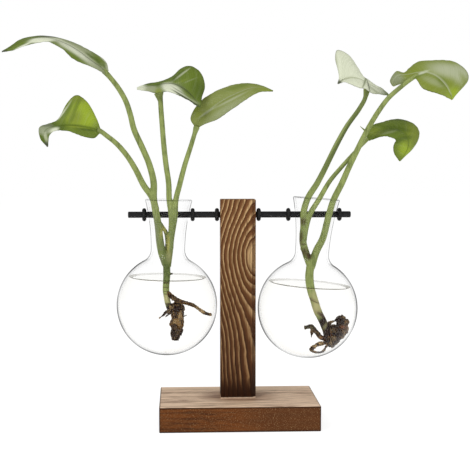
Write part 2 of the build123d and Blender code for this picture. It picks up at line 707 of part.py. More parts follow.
# The right cutting: its stem with three stalks, the roots and the leaves
right_stalks = [
    (right_stalk_e_neck_shares, right_stalk_e_shares, right_stalk_e_radius_shares),
    (right_stalk_g_neck_shares, right_stalk_g_shares, right_stalk_g_radius_shares),
    (right_stalk_f_neck_shares, right_stalk_f_shares, right_stalk_f_radius_shares),
]
right_crown = make_shoot(
    in_bulb(right_vase, right_crown_shares), bulb_room, right_crown_radius_shares
)
right_stem = make_stem(right_vase, right_spray_reach, right_crown, right_stalks)
save(right_stem, "right_cutting_stem")
right_root_mass = make_lump(right_vase, right_mass_shares, right_stem)
save(right_root_mass, "right_root_mass")
right_finger_root = make_shoot(
    in_bulb(right_vase, right_finger_shares),
    bulb_room,
    right_finger_radius_shares,
    right_stem,
    right_root_mass,
)
save(right_finger_root, "right_finger_root")
with BuildPart() as right_loop_root:
    add(
        make_shoot(
            in_bulb(right_vase, right_loop_arm_shares), bulb_room, right_loop_arm_radius_shares
        ).part
    )
    add(
        make_shoot(
            in_bulb(right_vase, right_loop_return_shares),
            bulb_room,
            right_loop_return_radius_shares,
        ).part
    )
    for piece in (right_stem, right_root_mass, right_finger_root):
        add(piece.part, mode=Mode.SUBTRACT)
save(right_loop_root, "right_loop_root")
right_leaves = {
    "right_leaf_e": right_leaf_e_shares,
    "right_leaf_f": right_leaf_f_shares,
    "right_leaf_g": right_leaf_g_shares,
}
for name, rows in right_leaves.items():
    save(make_leaf(right_vase, right_spray_reach, rows, right_stem), name)
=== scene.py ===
"""A propagation vase dressed for rendering: a burnt-wood stand, a black rod with rubber
rings, and two blown glass bulbs of water with rooted cuttings.

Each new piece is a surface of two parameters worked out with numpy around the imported
frame. Lengths are in metres, +X to the right, +Y away from the viewer and +Z up.
"""

import json
import math
from collections import namedtuple

import bpy
import numpy as np
from bpy.props import FloatProperty, FloatVectorProperty, PointerProperty
from bpy.types import Operator, Panel, PropertyGroup
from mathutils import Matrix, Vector


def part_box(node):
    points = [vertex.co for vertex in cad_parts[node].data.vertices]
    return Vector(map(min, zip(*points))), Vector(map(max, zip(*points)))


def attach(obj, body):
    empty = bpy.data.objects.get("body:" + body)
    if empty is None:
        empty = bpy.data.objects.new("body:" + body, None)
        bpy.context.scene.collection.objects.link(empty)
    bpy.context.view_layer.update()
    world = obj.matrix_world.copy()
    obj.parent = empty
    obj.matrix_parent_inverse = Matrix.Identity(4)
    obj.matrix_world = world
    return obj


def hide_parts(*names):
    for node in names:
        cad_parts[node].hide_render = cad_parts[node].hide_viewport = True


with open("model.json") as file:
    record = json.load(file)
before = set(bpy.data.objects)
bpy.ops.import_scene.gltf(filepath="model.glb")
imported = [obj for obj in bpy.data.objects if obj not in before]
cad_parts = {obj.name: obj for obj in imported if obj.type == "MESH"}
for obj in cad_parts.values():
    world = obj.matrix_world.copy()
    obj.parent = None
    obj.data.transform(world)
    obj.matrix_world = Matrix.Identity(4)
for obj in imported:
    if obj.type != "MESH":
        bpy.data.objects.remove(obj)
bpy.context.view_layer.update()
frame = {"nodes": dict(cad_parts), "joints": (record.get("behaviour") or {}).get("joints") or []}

bl_info = {
    "name": "Propagation vase",
    "version": (1, 0, 0),
    "blender": (4, 5, 0),
    "location": "3D View > Sidebar > Vase",
    "description": "Glass bulbs with rooted cuttings on a burnt-wood stand",
    "category": "Object",
}

# Places in the tables are in thousandths. A cutting's crown and a root's lump and strands
# count from the bulb's centre in shares of the bulb's room, and so do their radii. A stalk's
# places in the neck count from the holes' centre, in shares of the neck's room in X and Y
# and of the height from the bulb's centre to the holes in Z. All other places count from the
# holes' centre in shares of the spray's reach.
#
# A stalk runs from the fork through the neck and then the spray to its leaf. Its radii are
# at the fork, near the leaf and at it, in thousandths of the neck's room. Buds are dry
# sheaths, buds and scars on the stem, and shreds are knobs, torn bark and rootlets on a
# root: each has its places, and its radii in tenths of a millimetre.
#
# A patch is a soft patch of colour: its X and Z, its reach in both, its tilt in degrees, the
# name of its colour and its strength in hundredths. On the blades, patches in leaf_sheen are
# painted highlights, those in leaf_white, leaf_bright and leaf_olive are painted light shining
# through, and those in leaf_grey are painted shade.
#
# A blade says which side of its sections faces up, 1 or -1, and names its midrib's colour.
# Its rows run from the base to the tip, each a place of the midrib, of the far edge and of
# the near edge.
#
# A root has either a lump, whose rows also have its half width and half depth, or strands,
# each its places and its radii.
Stalk = namedtuple("Stalk", "neck spray radii")
Cutting = namedtuple("Cutting", "crown crown_radii stalks buds patches")
Blade = namedtuple("Blade", "upper rib rows patches")
Root = namedtuple("Root", "seed lump strands shreds patches")

cuttings = {
    "left": Cutting(crown=[
        (-20, -10, 900), (-18, 0, 580), (-24, 0, 270), (25, 0, 10), (60, 0, -90),
    ], crown_radii=(80, 60), stalks=[
        Stalk([
            (-100, -60, -540), (-380, -260, -410), (-560, -480, -250), (-630, -520, -140),
            (-770, -570, 0),
        ], [
            (-117, -73, 138), (-120, -86, 271), (-154, -93, 404), (-220, -100, 555),
            (-279, -106, 682), (-309, -113, 797), (-341, -120, 889), (-405, -130, 999),
            (-459, -136, 1066), (-494, -140, 1104), (-520, -141, 1128),
        ], (235, 165, 190)),
        Stalk([], [
            (-100, -70, 50), (-121, -76, 130), (-200, -110, 251), (-262, -140, 371),
            (-331, -170, 478), (-423, -200, 578), (-477, -220, 619), (-532, -240, 657),
            (-556, -248, 665),
        ], (200, 155, 200)),
        Stalk([
            (140, -340, -360), (210, -540, -160), (200, -600, 0),
        ], [
            (4, -70, 140), (-1, -66, 250), (-25, -46, 406), (-45, -22, 563), (-61, 0, 721),
            (-76, 30, 895), (-83, 42, 1011),
        ], (185, 170, 300)),
        Stalk([
            (-20, -60, -560), (100, -260, -420), (240, -520, -200), (420, -600, 0),
        ], [
            (58, -66, 140), (84, -60, 251), (123, -32, 409), (171, 2, 568), (212, 40, 712),
        ], (200, 155, 220)),
    ], buds=[
        ([(-63, -30, -35), (-37, -40, -89), (-13, -30, -137), (0, -20, -201), (-4, -10, -270)],
         (4, 16, 23, 22)),
        ([(10, -10, -462), (41, -20, -454)], (8, 8)),
        ([(-30, -10, -441), (20, -10, -441)], (23, 23)),
        ([(-76, 30, 890), (-90, 34, 930), (-104, 36, 975)], (13, 18, 29)),
    ], patches=[
        (0, -200, 300, 230, 0, "stem_dark", 45),
        (-115, -110, 35, 140, 8, "stem_grey", 55),
        (-8, -441, 48, 111, 0, "stem_dark", 75),
        (-7, -529, 48, 6, 0, "stem_brown", 70),
        (-7, -566, 48, 5, 0, "stem_brown", 60),
        (-8, -598, 48, 5, 0, "stem_brown", 60),
        (-1, -657, 40, 40, 0, "stem_pale", 90),
        (-5, -618, 48, 4, 0, "stem_brown", 80),
        (25, -735, 48, 35, 0, "root_dark", 95),
        (18, -698, 48, 10, 0, "stem_brown", 70),
        (-61, -362, 24, 40, 0, "stem_grey", 60),
        (9, -314, 24, 48, 0, "stem_pale", 40),
        (-59, -259, 16, 8, 0, "stem_grey", 50),
        (-30, -100, 24, 60, -20, "stem_yellow", 90),
        (-2, -210, 16, 70, 0, "stem_yellow", 90),
        (36, -456, 12, 14, 0, "root_dark", 95),
    ]),
    "right": Cutting(crown=[
        (10, 0, 1000), (-16, 0, 670), (39, 0, 395), (120, 0, 195), (219, 0, -50), (360, 0, -290),
        (450, 0, -480), (485, 0, -680),
    ], crown_radii=(90, 82), stalks=[
        Stalk([
            (20, 0, -560), (-380, -100, -430), (-700, -250, -290), (-760, -400, -120),
            (-840, -460, 0),
        ], [
            (-76, -50, 124), (-8, -42, 255), (44, -28, 373), (92, -14, 491), (142, -2, 609),
            (200, 12, 728), (289, 30, 872), (327, 40, 952), (340, 50, 1044),
        ], (220, 150, 260)),
        Stalk([
            (-680, -260, -300), (-600, -380, -150), (-410, -460, 0),
        ], [
            (14, -54, 126), (95, -50, 287), (165, -40, 383), (241, -24, 480), (319, -3, 575),
            (375, 20, 636),
        ], (180, 125, 130)),
        Stalk([
            (20, 0, -560), (280, -120, -380), (600, -260, -250), (770, -420, -90), (850, -480, 0),
        ], [
            (128, -60, 124), (185, -68, 271), (224, -74, 387), (268, -82, 504), (313, -92, 621),
            (361, -106, 737), (417, -120, 853), (486, -134, 964), (563, -150, 1046),
            (635, -158, 1113), (700, -150, 1161),
        ], (220, 150, 140)),
    ], buds=[
        ([(-106, -30, -150), (-100, -30, -200)], (12, 14)),
        ([(301, 10, 733), (340, -30, 697)], (3, 9)),
        ([(-90, -20, -270), (-60, -20, -310)], (14, 17)),
        ([(-45, -10, -340), (-38, -10, -372)], (6, 4)),
    ], patches=[
        (0, -150, 300, 250, 0, "stem_dark", 25),
        (4, -594, 56, 5, 0, "stem_pale", 60),
        (27, -673, 56, 6, -15, "stem_brown", 80),
        (70, -702, 48, 5, -20, "stem_brown", 60),
        (75, -735, 60, 75, -25, "stem_pale", 85),
        (45, -690, 50, 5, -20, "stem_brown", 80),
        (150, -870, 60, 60, -25, "root_dark", 95),
        (118, -795, 50, 16, -25, "stem_brown", 80),
        (165, -940, 80, 125, 20, "root_dark", 97),
        (150, -885, 14, 40, -25, "stem_pale", 35),
        (45, -640, 45, 45, 0, "stem_pale", 60),
        (-100, -58, 28, 34, 0, "stem_brown", 55),
        (-104, -187, 18, 56, 0, "stem_brown", 55),
        (-68, -302, 34, 40, -30, "stem_brown", 60),
        (-26, -331, 26, 34, 0, "stem_brown", 70),
        (-81, -239, 24, 8, 0, "stem_brown", 50),
        (150, 600, 450, 30, 64, "stem_dark", 70),
        (128, 610, 400, 9, 64, "stem_green", 60),
        (140, 330, 100, 22, 55, "stem_dark", 60),
    ]),
}
blades = {
    "left_leaf_a": Blade(upper=-1, rib="leaf_shade", rows=[
        (-494, -140, 1104, -480, -125, 1129, -505, -155, 1090),
        (-529, -140, 1136, -501, -40, 1193, -536, -220, 1112),
        (-622, -140, 1201, -600, -10, 1271, -634, -260, 1154),
        (-726, -140, 1275, -717, 10, 1331, -745, -280, 1202),
        (-823, -140, 1326, -825, 10, 1364, -827, -260, 1272),
        (-931, -135, 1359, -940, -20, 1385, -928, -230, 1326),
        (-1040, -125, 1363, -1049, -50, 1385, -1027, -190, 1319),
        (-1132, -120, 1339, -1155, -65, 1361, -1111, -160, 1300),
        (-1225, -110, 1290, -1241, -80, 1303, -1210, -130, 1268),
        (-1303, -100, 1257, -1304, -94, 1262, -1302, -106, 1252),
    ], patches=[
        (-655, 1225, 280, 75, -32, "leaf_pale", 90),
        (-731, 1262, 150, 26, -33, "leaf_white", 95),
        (-560, 1216, 85, 30, -42, "leaf_green", 95),
        (-738, 1215, 135, 26, -33, "leaf_green", 98),
        (-610, 1312, 110, 18, -36, "leaf_sheen", 90),
        (-620, 1236, 50, 10, -38, "leaf_deep", 80),
        (-561, 1195, 45, 12, -50, "leaf_deep", 75),
        (-502, 1145, 45, 9, -55, "leaf_deep", 80),
        (-535, 1240, 110, 12, -45, "leaf_white", 85),
        (-990, 1345, 120, 26, 4, "leaf_white", 95),
        (-1160, 1318, 105, 22, 30, "leaf_green", 90),
        (-1150, 1290, 90, 10, 26, "leaf_white", 80),
        (-940, 1383, 110, 10, 0, "leaf_shade", 80),
        (-1289, 1254, 34, 16, 15, "leaf_shade", 95),
        (-483, 1165, 22, 45, 0, "leaf_sheen", 90),
    ]),
    # Its dark midrib colour is painted shade in the fold along the midrib.
    "left_leaf_b": Blade(upper=-1, rib="leaf_deep", rows=[
        (-532, -240, 657, -530, -235, 677, -535, -245, 638),
        (-562, -250, 666, -565, -205, 761, -562, -290, 606),
        (-603, -260, 675, -611, -185, 845, -598, -320, 599),
        (-652, -270, 682, -662, -175, 905, -646, -335, 610),
        (-719, -290, 689, -731, -180, 928, -713, -350, 631),
        (-778, -305, 690, -792, -220, 859, -773, -355, 649),
        (-837, -320, 685, -849, -280, 741, -828, -360, 653),
        (-895, -340, 674, -917, -310, 704, -873, -365, 643),
        (-939, -360, 642, -984, -335, 671, -899, -375, 616),
        (-941, -375, 589, -972, -365, 589, -907, -380, 588),
        (-914, -380, 527, -918, -380, 526, -910, -380, 529),
    ], patches=[
        (-655, 790, 150, 150, 0, "leaf_bright", 85),
        (-715, 905, 80, 40, 0, "leaf_fresh", 85),
        (-725, 760, 60, 60, 0, "leaf_fresh", 80),
        (-712, 846, 16, 75, -20, "leaf_green", 70),
        (-746, 741, 16, 60, -30, "leaf_green", 60),
        (-790, 800, 26, 110, -30, "leaf_green", 95),
        (-812, 790, 7, 60, -32, "leaf_white", 75),
        (-775, 850, 7, 50, -28, "leaf_sheen", 60),
        (-646, 640, 130, 34, -8, "leaf_green", 98),
        (-620, 664, 90, 10, -6, "leaf_deep", 80),
        (-707, 684, 64, 9, -5, "leaf_fresh", 70),
        (-950, 664, 75, 50, 0, "leaf_grey", 95),
        (-945, 692, 70, 14, -4, "leaf_shade", 50),
        (-866, 656, 40, 18, 25, "leaf_white", 75),
        (-930, 600, 16, 50, 20, "leaf_sheen", 70),
        (-925, 540, 26, 28, 0, "leaf_shade", 90),
    ]),
    # Its dark midrib colour, and the leaf_shade lines beside its pale fold, are painted shade in
    # the fold.
    "left_leaf_c": Blade(upper=1, rib="leaf_shade", rows=[
        (-265, 60, 1006, -266, 70, 1015, -265, 50, 996),
        (-190, 55, 1020, -192, 110, 1048, -188, -10, 983),
        (-115, 50, 1031, -118, 150, 1064, -112, -70, 967),
        (-40, 35, 1044, -35, 160, 1089, -41, -90, 975),
        (0, 20, 1044, 18, 155, 1119, -7, -95, 974),
        (39, 8, 1036, 77, 145, 1180, 23, -100, 968),
        (75, -6, 1020, 147, 125, 1201, 48, -110, 956),
        (110, -20, 998, 211, 110, 1174, 79, -113, 944),
        (147, -40, 967, 258, 80, 1108, 112, -115, 926),
        (178, -60, 935, 272, 30, 1026, 148, -116, 908),
        (208, -82, 900, 251, -30, 949, 191, -112, 883),
        (234, -100, 862, 238, -97, 866, 230, -103, 860),
    ], patches=[
        (185, 1050, 120, 140, 0, "leaf_green", 95),
        (225, 1000, 60, 90, 20, "leaf_deep", 70),
        (60, 1115, 16, 75, -50, "leaf_deep", 80),
        (85, 1125, 8, 70, -50, "leaf_sheen", 75),
        (125, 1155, 4, 45, -48, "leaf_sheen", 45),
        (150, 1075, 4, 60, -66, "leaf_sheen", 35),
        (4, 1005, 85, 48, -22, "leaf_white", 95),
        (110, 957, 110, 15, -31, "leaf_white", 90),
        (60, 968, 60, 6, -30, "leaf_shade", 80),
        (150, 914, 110, 8, -31, "leaf_shade", 90),
        (150, 942, 80, 15, -33, "leaf_green", 90),
        (60, 990, 60, 5, -33, "leaf_shade", 60),
        (90, 1070, 60, 5, 22, "leaf_fresh", 55),
        (-240, 1009, 60, 34, 0, "leaf_white", 95),
        (-150, 1000, 56, 34, 0, "leaf_pale", 90),
        (-90, 965, 34, 45, 0, "leaf_fresh", 85),
    ]),
    "left_leaf_d": Blade(upper=1, rib="leaf_pale", rows=[
        (212, 40, 712, 194, 42, 717, 229, 38, 706),
        (230, 30, 767, 162, 35, 774, 269, 0, 731),
        (290, 20, 827, 212, 55, 887, 351, -50, 762),
        (401, 0, 912, 343, 70, 990, 465, -80, 836),
        (528, -20, 980, 499, 60, 1055, 567, -90, 911),
        (649, -40, 1025, 640, 15, 1064, 671, -85, 977),
        (736, -50, 1026, 737, -30, 1040, 733, -70, 997),
        (806, -60, 1003, 809, -57, 1008, 804, -63, 999),
    ], patches=[
        (400, 900, 400, 200, 30, "leaf_olive", 100),
        (204, 860, 30, 95, 20, "leaf_fresh", 70),
        (440, 840, 180, 42, 32, "leaf_pale", 60),
        (300, 835, 80, 8, 35, "leaf_sheen", 80),
        (471, 925, 140, 9, 28, "leaf_sheen", 70),
        (549, 1040, 120, 20, 17, "leaf_green", 60),
        (740, 1015, 70, 20, -10, "leaf_fresh", 60),
    ]),
    "right_leaf_e": Blade(upper=-1, rib="leaf_pale", rows=[
        (525, 120, 1005, 530, 128, 1012, 520, 112, 997),
        (459, 95, 1033, 475, 130, 1053, 438, 30, 997),
        (397, 75, 1055, 414, 130, 1080, 367, -5, 1000),
        (339, 55, 1078, 359, 125, 1110, 306, -30, 1025),
        (278, 42, 1101, 303, 135, 1153, 253, -48, 1031),
        (236, 35, 1106, 254, 165, 1229, 219, -56, 1040),
        (195, 26, 1102, 188, 182, 1304, 186, -60, 1050),
        (167, 18, 1093, 125, 180, 1332, 160, -60, 1057),
        (147, 10, 1085, 80, 155, 1322, 138, -55, 1062),
        (134, 4, 1078, 73, 125, 1261, 126, -50, 1062),
        (119, -4, 1069, 92, 80, 1184, 114, -42, 1058),
        (105, -12, 1060, 104, 30, 1110, 102, -30, 1052),
        (92, -20, 1050, 90, -17, 1053, 94, -23, 1046),
    ], patches=[
        (200, 1150, 300, 300, 0, "leaf_white", 100),
        (417, 1045, 90, 30, -25, "leaf_white", 60),
        (395, 1025, 80, 12, -30, "leaf_grey", 45),
        (322, 1103, 10, 95, -25, "leaf_grey", 95),
        (345, 1060, 8, 60, 8, "leaf_shade", 70),
        (80, 1200, 10, 110, 5, "leaf_pale", 50),
        (100, 1061, 22, 22, 0, "leaf_shade", 95),
    ]),
    "right_leaf_f": Blade(upper=1, rib="leaf_sheen", rows=[
        (526, -50, 1066, 519, -44, 1070, 534, -56, 1061),
        (526, -60, 1108, 504, -30, 1113, 566, -90, 1077),
        (553, -75, 1147, 549, -20, 1185, 593, -110, 1088),
        (602, -90, 1154, 610, -15, 1178, 623, -125, 1112),
        (651, -105, 1163, 647, -15, 1217, 659, -140, 1138),
        (697, -124, 1175, 701, -15, 1265, 680, -190, 1119),
        (749, -144, 1182, 770, -20, 1289, 713, -245, 1060),
        (799, -164, 1174, 849, -20, 1299, 747, -270, 1037),
        (846, -184, 1150, 937, -30, 1305, 789, -284, 1025),
        (883, -202, 1117, 1007, -50, 1293, 826, -290, 1017),
        (912, -222, 1080, 1079, -90, 1242, 864, -294, 1006),
        (932, -244, 1040, 1102, -145, 1169, 897, -294, 997),
        (946, -264, 1006, 1062, -190, 1099, 926, -290, 987),
        (951, -274, 990, 997, -245, 1029, 938, -288, 982),
        (955, -280, 979, 960, -277, 984, 950, -283, 975),
    ], patches=[
        (800, 1150, 450, 300, 0, "leaf_fresh", 100),
        (660, 1205, 100, 50, 40, "leaf_fresh", 80),
        (700, 1150, 80, 12, 35, "leaf_green", 70),
        (800, 1283, 120, 16, 8, "leaf_fresh", 80),
        (925, 1215, 150, 62, -4, "leaf_sheen", 95),
        (1030, 1190, 70, 80, 0, "leaf_sheen", 85),
        (735, 1180, 50, 9, 24, "leaf_white", 80),
        (806, 1110, 90, 30, -20, "leaf_sheen", 45),
        (880, 1120, 60, 35, -45, "leaf_green", 60),
        (972, 1025, 60, 55, 0, "leaf_bright", 80),
        (1065, 1125, 30, 90, 25, "leaf_fresh", 60),
        (540, 1120, 60, 60, 0, "leaf_grey", 90),
    ]),
    "right_leaf_g": Blade(upper=1, rib="leaf_green", rows=[
        (375, 20, 636, 364, 30, 651, 386, 10, 620),
        (433, 30, 689, 413, 110, 745, 440, -50, 647),
        (510, 25, 723, 510, 125, 791, 502, -70, 666),
        (560, 15, 733, 571, 127, 810, 543, -84, 656),
        (606, 0, 732, 643, 124, 818, 572, -96, 644),
        (644, -20, 712, 713, 106, 808, 576, -108, 633),
        (673, -42, 680, 770, 76, 770, 565, -120, 616),
        (684, -66, 640, 792, 50, 718, 557, -128, 589),
        (681, -86, 598, 774, 10, 645, 559, -130, 558),
        (665, -102, 557, 720, -40, 571, 570, -130, 528),
        (644, -115, 517, 668, -86, 522, 592, -130, 503),
        (620, -125, 478, 625, -122, 480, 614, -128, 476),
    ], patches=[
        (600, 680, 300, 250, 0, "leaf_green", 100),
        (735, 710, 70, 95, 0, "leaf_fresh", 95),
        (430, 700, 50, 40, 0, "leaf_fresh", 70),
        (530, 700, 70, 10, 18, "leaf_sheen", 30),
        (600, 735, 110, 20, -5, "leaf_deep", 70),
        (635, 650, 90, 22, 20, "leaf_deep", 85),
        (665, 575, 65, 65, -20, "leaf_bright", 98),
        (690, 610, 50, 20, -40, "leaf_fresh", 60),
        (610, 815, 160, 12, 0, "leaf_deep", 70),
    ]),
}
roots = {
    "left_root_plug": Root(seed=21, strands=[], lump=[
        (200, 0, 80, 40, 40), (218, 0, 0, 105, 105), (225, 0, -100, 125, 120),
        (215, 0, -350, 130, 125), (195, 0, -580, 110, 105), (175, 0, -740, 60, 60),
    ], shreds=[
        ([(45, 0, -700), (85, -10, -712), (115, 0, -745)], (12, 40, 38, 12)),
        ([(45, 0, -735), (0, -20, -760), (-40, -30, -795), (-62, -40, -812)], (16, 12, 9, 3)),
        ([(40, 0, -745), (12, -30, -778), (-16, -40, -802)], (10, 9, 3)),
        ([(105, -10, -790), (140, -20, -792), (159, -30, -783)], (12, 8, 3)),
        ([(20, 0, -700), (35, 0, -745), (55, 0, -790)], (20, 22, 24)),
        ([(60, -10, -900), (50, -20, -960), (58, -20, -985)], (22, 16, 4)),
        ([(105, -10, -880), (118, -20, -925), (112, -20, -950)], (20, 14, 4)),
    ], patches=[
        (85, -825, 100, 75, 0, "root_tan", 90),
        (105, -790, 20, 45, 0, "root_pale", 60),
        (65, -840, 16, 30, 0, "root_pale", 50),
        (91, -722, 50, 42, 0, "root_dark", 100),
        (93, -697, 10, 7, 0, "root_pale", 95),
        (75, -955, 80, 75, 0, "root_dark", 100),
        (0, -770, 45, 40, 0, "root_dark", 90),
        (28, -712, 24, 24, 0, "root_pale", 60),
        (147, -787, 22, 20, 0, "root_dark", 90),
    ]),
    "right_root_mass": Root(seed=22, strands=[], lump=[
        (765, 0, -235, 50, 45), (730, 0, -360, 130, 100), (650, 0, -550, 125, 110),
        (560, 0, -690, 90, 85), (510, 0, -780, 35, 35),
    ], shreds=[
        ([(194, 0, -936), (180, -30, -985), (140, -40, -1030)], (16, 9, 4)),
        ([(215, 0, -894), (236, -30, -954), (222, -40, -1010)], (14, 10, 5)),
        ([(165, 0, -905), (192, -20, -850), (232, -20, -835)], (12, 13, 6)),
        ([(215, 0, -900), (258, -20, -900), (300, -20, -868)], (20, 22, 12)),
        ([(290, 0, -845), (312, -10, -885), (300, -10, -935), (270, -10, -980)],
         (22, 32, 30, 15)),
        ([(250, 0, -850), (280, -10, -820), (310, -10, -822)], (30, 34, 24)),
        ([(250, 0, -960), (235, -10, -1010), (218, -20, -1055)], (36, 30, 10)),
        ([(190, 0, -895), (225, -10, -905), (268, -10, -910)], (30, 38, 40)),
        ([(290, 0, -850), (320, -10, -846), (340, -10, -852)], (36, 34, 20)),
    ], patches=[
        (260, -930, 200, 200, 0, "root_dark", 95),
        (330, -905, 18, 40, 0, "root_tan", 80),
        (322, -835, 18, 14, 0, "root_tan", 80),
        (300, -880, 30, 16, 0, "root_brown", 80),
        (185, -945, 24, 24, 0, "root_brown", 90),
        (222, -1030, 34, 20, -30, "root_pale", 35),
    ]),
    "left_long_root": Root(seed=23, lump=[], strands=[
        ([
            (10, -20, 260), (160, -140, 150), (365, -260, 85), (565, -310, 30), (716, -310, -80),
            (830, -290, -140), (914, -255, -156),
        ], (42, 30)),
    ], shreds=[
        ([(12, -20, -630), (50, -30, -650), (95, -50, -672)], (10, 20, 17)),
    ], patches=[
        (55, -650, 55, 24, -25, "root_dark", 100),
        (142, -683, 32, 24, 0, "root_tan", 80),
        (190, -694, 30, 16, 0, "root_dark", 70),
        (262, -725, 40, 20, -30, "root_pale", 80),
        (320, -765, 20, 20, 0, "root_dark", 90),
        (345, -778, 12, 16, 0, "root_pale", 70),
        (375, -785, 16, 16, 0, "root_dark", 80),
    ]),
    "right_finger_root": Root(seed=24, lump=[], strands=[
        ([
            (480, -5, -605), (340, -26, -600), (235, -52, -500), (117, -78, -380),
            (-45, -104, -405),
        ], (50, 40)),
    ], shreds=[
        ([(50, -20, -912), (48, -30, -955), (45, -30, -985)], (14, 10, 4)),
    ], patches=[
        (40, -930, 140, 80, 0, "root_dark", 90),
        (20, -900, 40, 12, 0, "leaf_grey", 40),
        (133, -981, 24, 16, 0, "root_brown", 80),
    ]),
    "right_loop_root": Root(seed=25, lump=[], strands=[
        ([
            (480, -20, -680), (240, -130, -750), (100, -190, -850),
        ], (46, 36)),
        ([
            (105, -190, -852), (250, -215, -888), (380, -170, -860), (460, -80, -740),
        ], (22, 24)),
    ], shreds=[], patches=[
        (100, -1045, 60, 30, 35, "root_pale", 70),
        (62, -1085, 34, 34, 0, "root_dark", 80),
        (80, -1075, 12, 12, 0, "root_brown", 80),
        (142, -1095, 80, 16, 0, "root_dark", 80),
        (160, -980, 30, 30, 0, "root_brown", 90),
    ]),
}

white = (1, 1, 1, 1)


def length(name, about, default):
    """A length property in metres."""
    return FloatProperty(
        name=name, description=about, default=default, min=0.0, precision=4, unit="LENGTH"
    )


def part(name, about, default):
    """A property that is a share of something."""
    return FloatProperty(
        name=name, description=about, default=default, min=0.0, max=1.0, subtype="FACTOR"
    )


def colour(name, about, default):
    """A colour property, in linear light."""
    return FloatVectorProperty(
        name=name, description=about, default=default, min=0.0, max=1.0, size=3, subtype="COLOR"
    )


class VaseGlassSizes(PropertyGroup):
    """Sizes of the two blown vases and the water in them."""

    bulb_radius: length("Bulb radius", "Outside radius of a bulb", 0.040)
    wall: length("Wall", "Thickness of the glass", 0.0016)
    shoulder_radius: length("Shoulder radius", "Hollow curve from bulb to neck", 0.010)
    neck_radius: length("Neck radius", "Outside radius at the narrowest place", 0.0135)
    rim_radius: length("Rim radius", "Outside radius at the rim", 0.0186)
    left_neck: length("Left neck", "From the narrowest place to the rim", 0.0390)
    right_neck: length("Right neck", "From the narrowest place to the rim", 0.0433)
    hole_radius: length("Hole radius", "Radius of the holes that the rod runs through", 0.0042)
    hole_below_rim: length("Hole below rim", "From the rim to the holes' centre", 0.0124)
    rod_radius: length("Rod radius", "Radius of the rod", 0.0025)
    hang_gap: length("Hang gap", "Left between the holes and the rod", 0.0001)
    left_lean: part("Left lean", "Share of the tilt that its holes allow", 0.19)
    right_lean: part("Right lean", "Share of the tilt that its holes allow", 0.78)
    left_water: length("Left water", "Height of the water over the table", 0.1157)
    right_water: length("Right water", "Height of the water over the table", 0.1095)
    water_gap: length("Water gap", "Left between water and glass", 0.00015)
    meniscus: length("Meniscus", "How far the water climbs at the glass", 0.0012)


class VasePlantSizes(PropertyGroup):
    """Sizes of the cuttings."""

    spray_reach: length("Spray reach", "Height that the spray's shares refer to", 0.100)
    blade_rib: length("Rib thickness", "Thickness of a blade at its midrib", 0.0010)
    blade_edge: length("Edge thickness", "Thickness of a blade at its margin", 0.0005)
    vein_depth: length("Vein depth", "Depth of the side veins' furrows", 0.00012)
    margin_wave: length("Margin wave", "How far a blade's margin waves", 0.0003)


class VaseColours(PropertyGroup):
    """Colours of the wood, metal, glass and plants."""

    wood_light: colour("Wood light", "Raised grain of the burnt wood", (0.640, 0.425, 0.205))
    wood_mid: colour("Wood brown", "Ground between the raised grain", (0.090, 0.030, 0.008))
    wood_burnt: colour("Wood burnt", "Where the wood is burnt darkest", (0.024, 0.008, 0.003))
    # base_red is also painted shade on the top about the post's foot.
    base_red: colour("Base brown", "Front and ends of the base", (0.145, 0.043, 0.008))
    base_pale: colour("Base top", "Top of the base", (0.790, 0.585, 0.415))
    metal: colour("Metal", "Rod", (0.006, 0.006, 0.007))
    rubber: colour("Rubber", "Stop rings", (0.006, 0.006, 0.006))
    steel: colour("Steel", "Screws", (0.52, 0.51, 0.49))
    # glass_line is painted shade where the glass is seen along its wall.
    glass_line: colour("Glass line", "Glass seen along its wall", (0.060, 0.060, 0.055))
    # water_line is painted shade along the water's edge.
    water_line: colour("Water line", "The water's dark edge", (0.160, 0.150, 0.110))
    water_tint: colour("Water tint", "Water", (0.997, 0.995, 0.985))
    stem_green: colour("Stem green", "Stalks", (0.265, 0.315, 0.100))
    stem_dark: colour("Stem dark", "Stem low in the vase", (0.095, 0.125, 0.036))
    stem_pale: colour("Stem pale", "Young skin below a joint", (0.400, 0.380, 0.180))
    stem_grey: colour("Stem grey", "Dry skin at a fork", (0.200, 0.215, 0.125))
    stem_yellow: colour("Sheath", "Papery sheath between the stalks", (0.380, 0.370, 0.100))
    stem_brown: colour("Stem brown", "Scars and the foot of the stem", (0.050, 0.022, 0.012))
    leaf_deep: colour("Leaf deep", "Upper side of a blade, darkest", (0.060, 0.096, 0.008))
    leaf_green: colour("Leaf green", "Upper side of a blade", (0.115, 0.165, 0.016))
    leaf_fresh: colour("Leaf fresh", "Upper side of a young blade", (0.195, 0.240, 0.030))
    leaf_bright: colour("Leaf bright", "Where light comes through a blade", (0.285, 0.378, 0.024))
    leaf_sheen: colour("Leaf sheen", "Where a blade mirrors the light", (0.400, 0.430, 0.280))
    leaf_pale: colour("Leaf pale", "Lower side of a blade", (0.300, 0.330, 0.190))
    leaf_white: colour("Leaf white", "Lower side with light behind it", (0.660, 0.690, 0.530))
    leaf_olive: colour("Leaf olive", "Light through a folded blade", (0.205, 0.240, 0.058))
    leaf_grey: colour("Leaf grey", "Shaded lower side", (0.250, 0.280, 0.170))
    # leaf_shade also paints shade in the folds of the blades.
    leaf_shade: colour("Leaf shade", "Dry tips and margins", (0.045, 0.055, 0.028))
    root_pale: colour("Root pale", "Torn bark", (0.520, 0.360, 0.170))
    root_tan: colour("Root tan", "Bark-like root", (0.260, 0.135, 0.035))
    root_brown: colour("Root brown", "Rust-brown rootlets", (0.260, 0.095, 0.040))
    root_dark: colour("Root dark", "Wet old root", (0.022, 0.011, 0.008))


def glass_sizes():
    """The scene's sizes of the glass and the water."""
    return bpy.context.scene.vase_glass


def plant_sizes():
    """The scene's sizes of the cuttings."""
    return bpy.context.scene.vase_plants


def colours():
    """The scene's named colours."""
    return bpy.context.scene.vase_colours


def painted(name):
    """A named colour with full opacity, as sockets take it."""
    return (*getattr(colours(), name), 1.0)


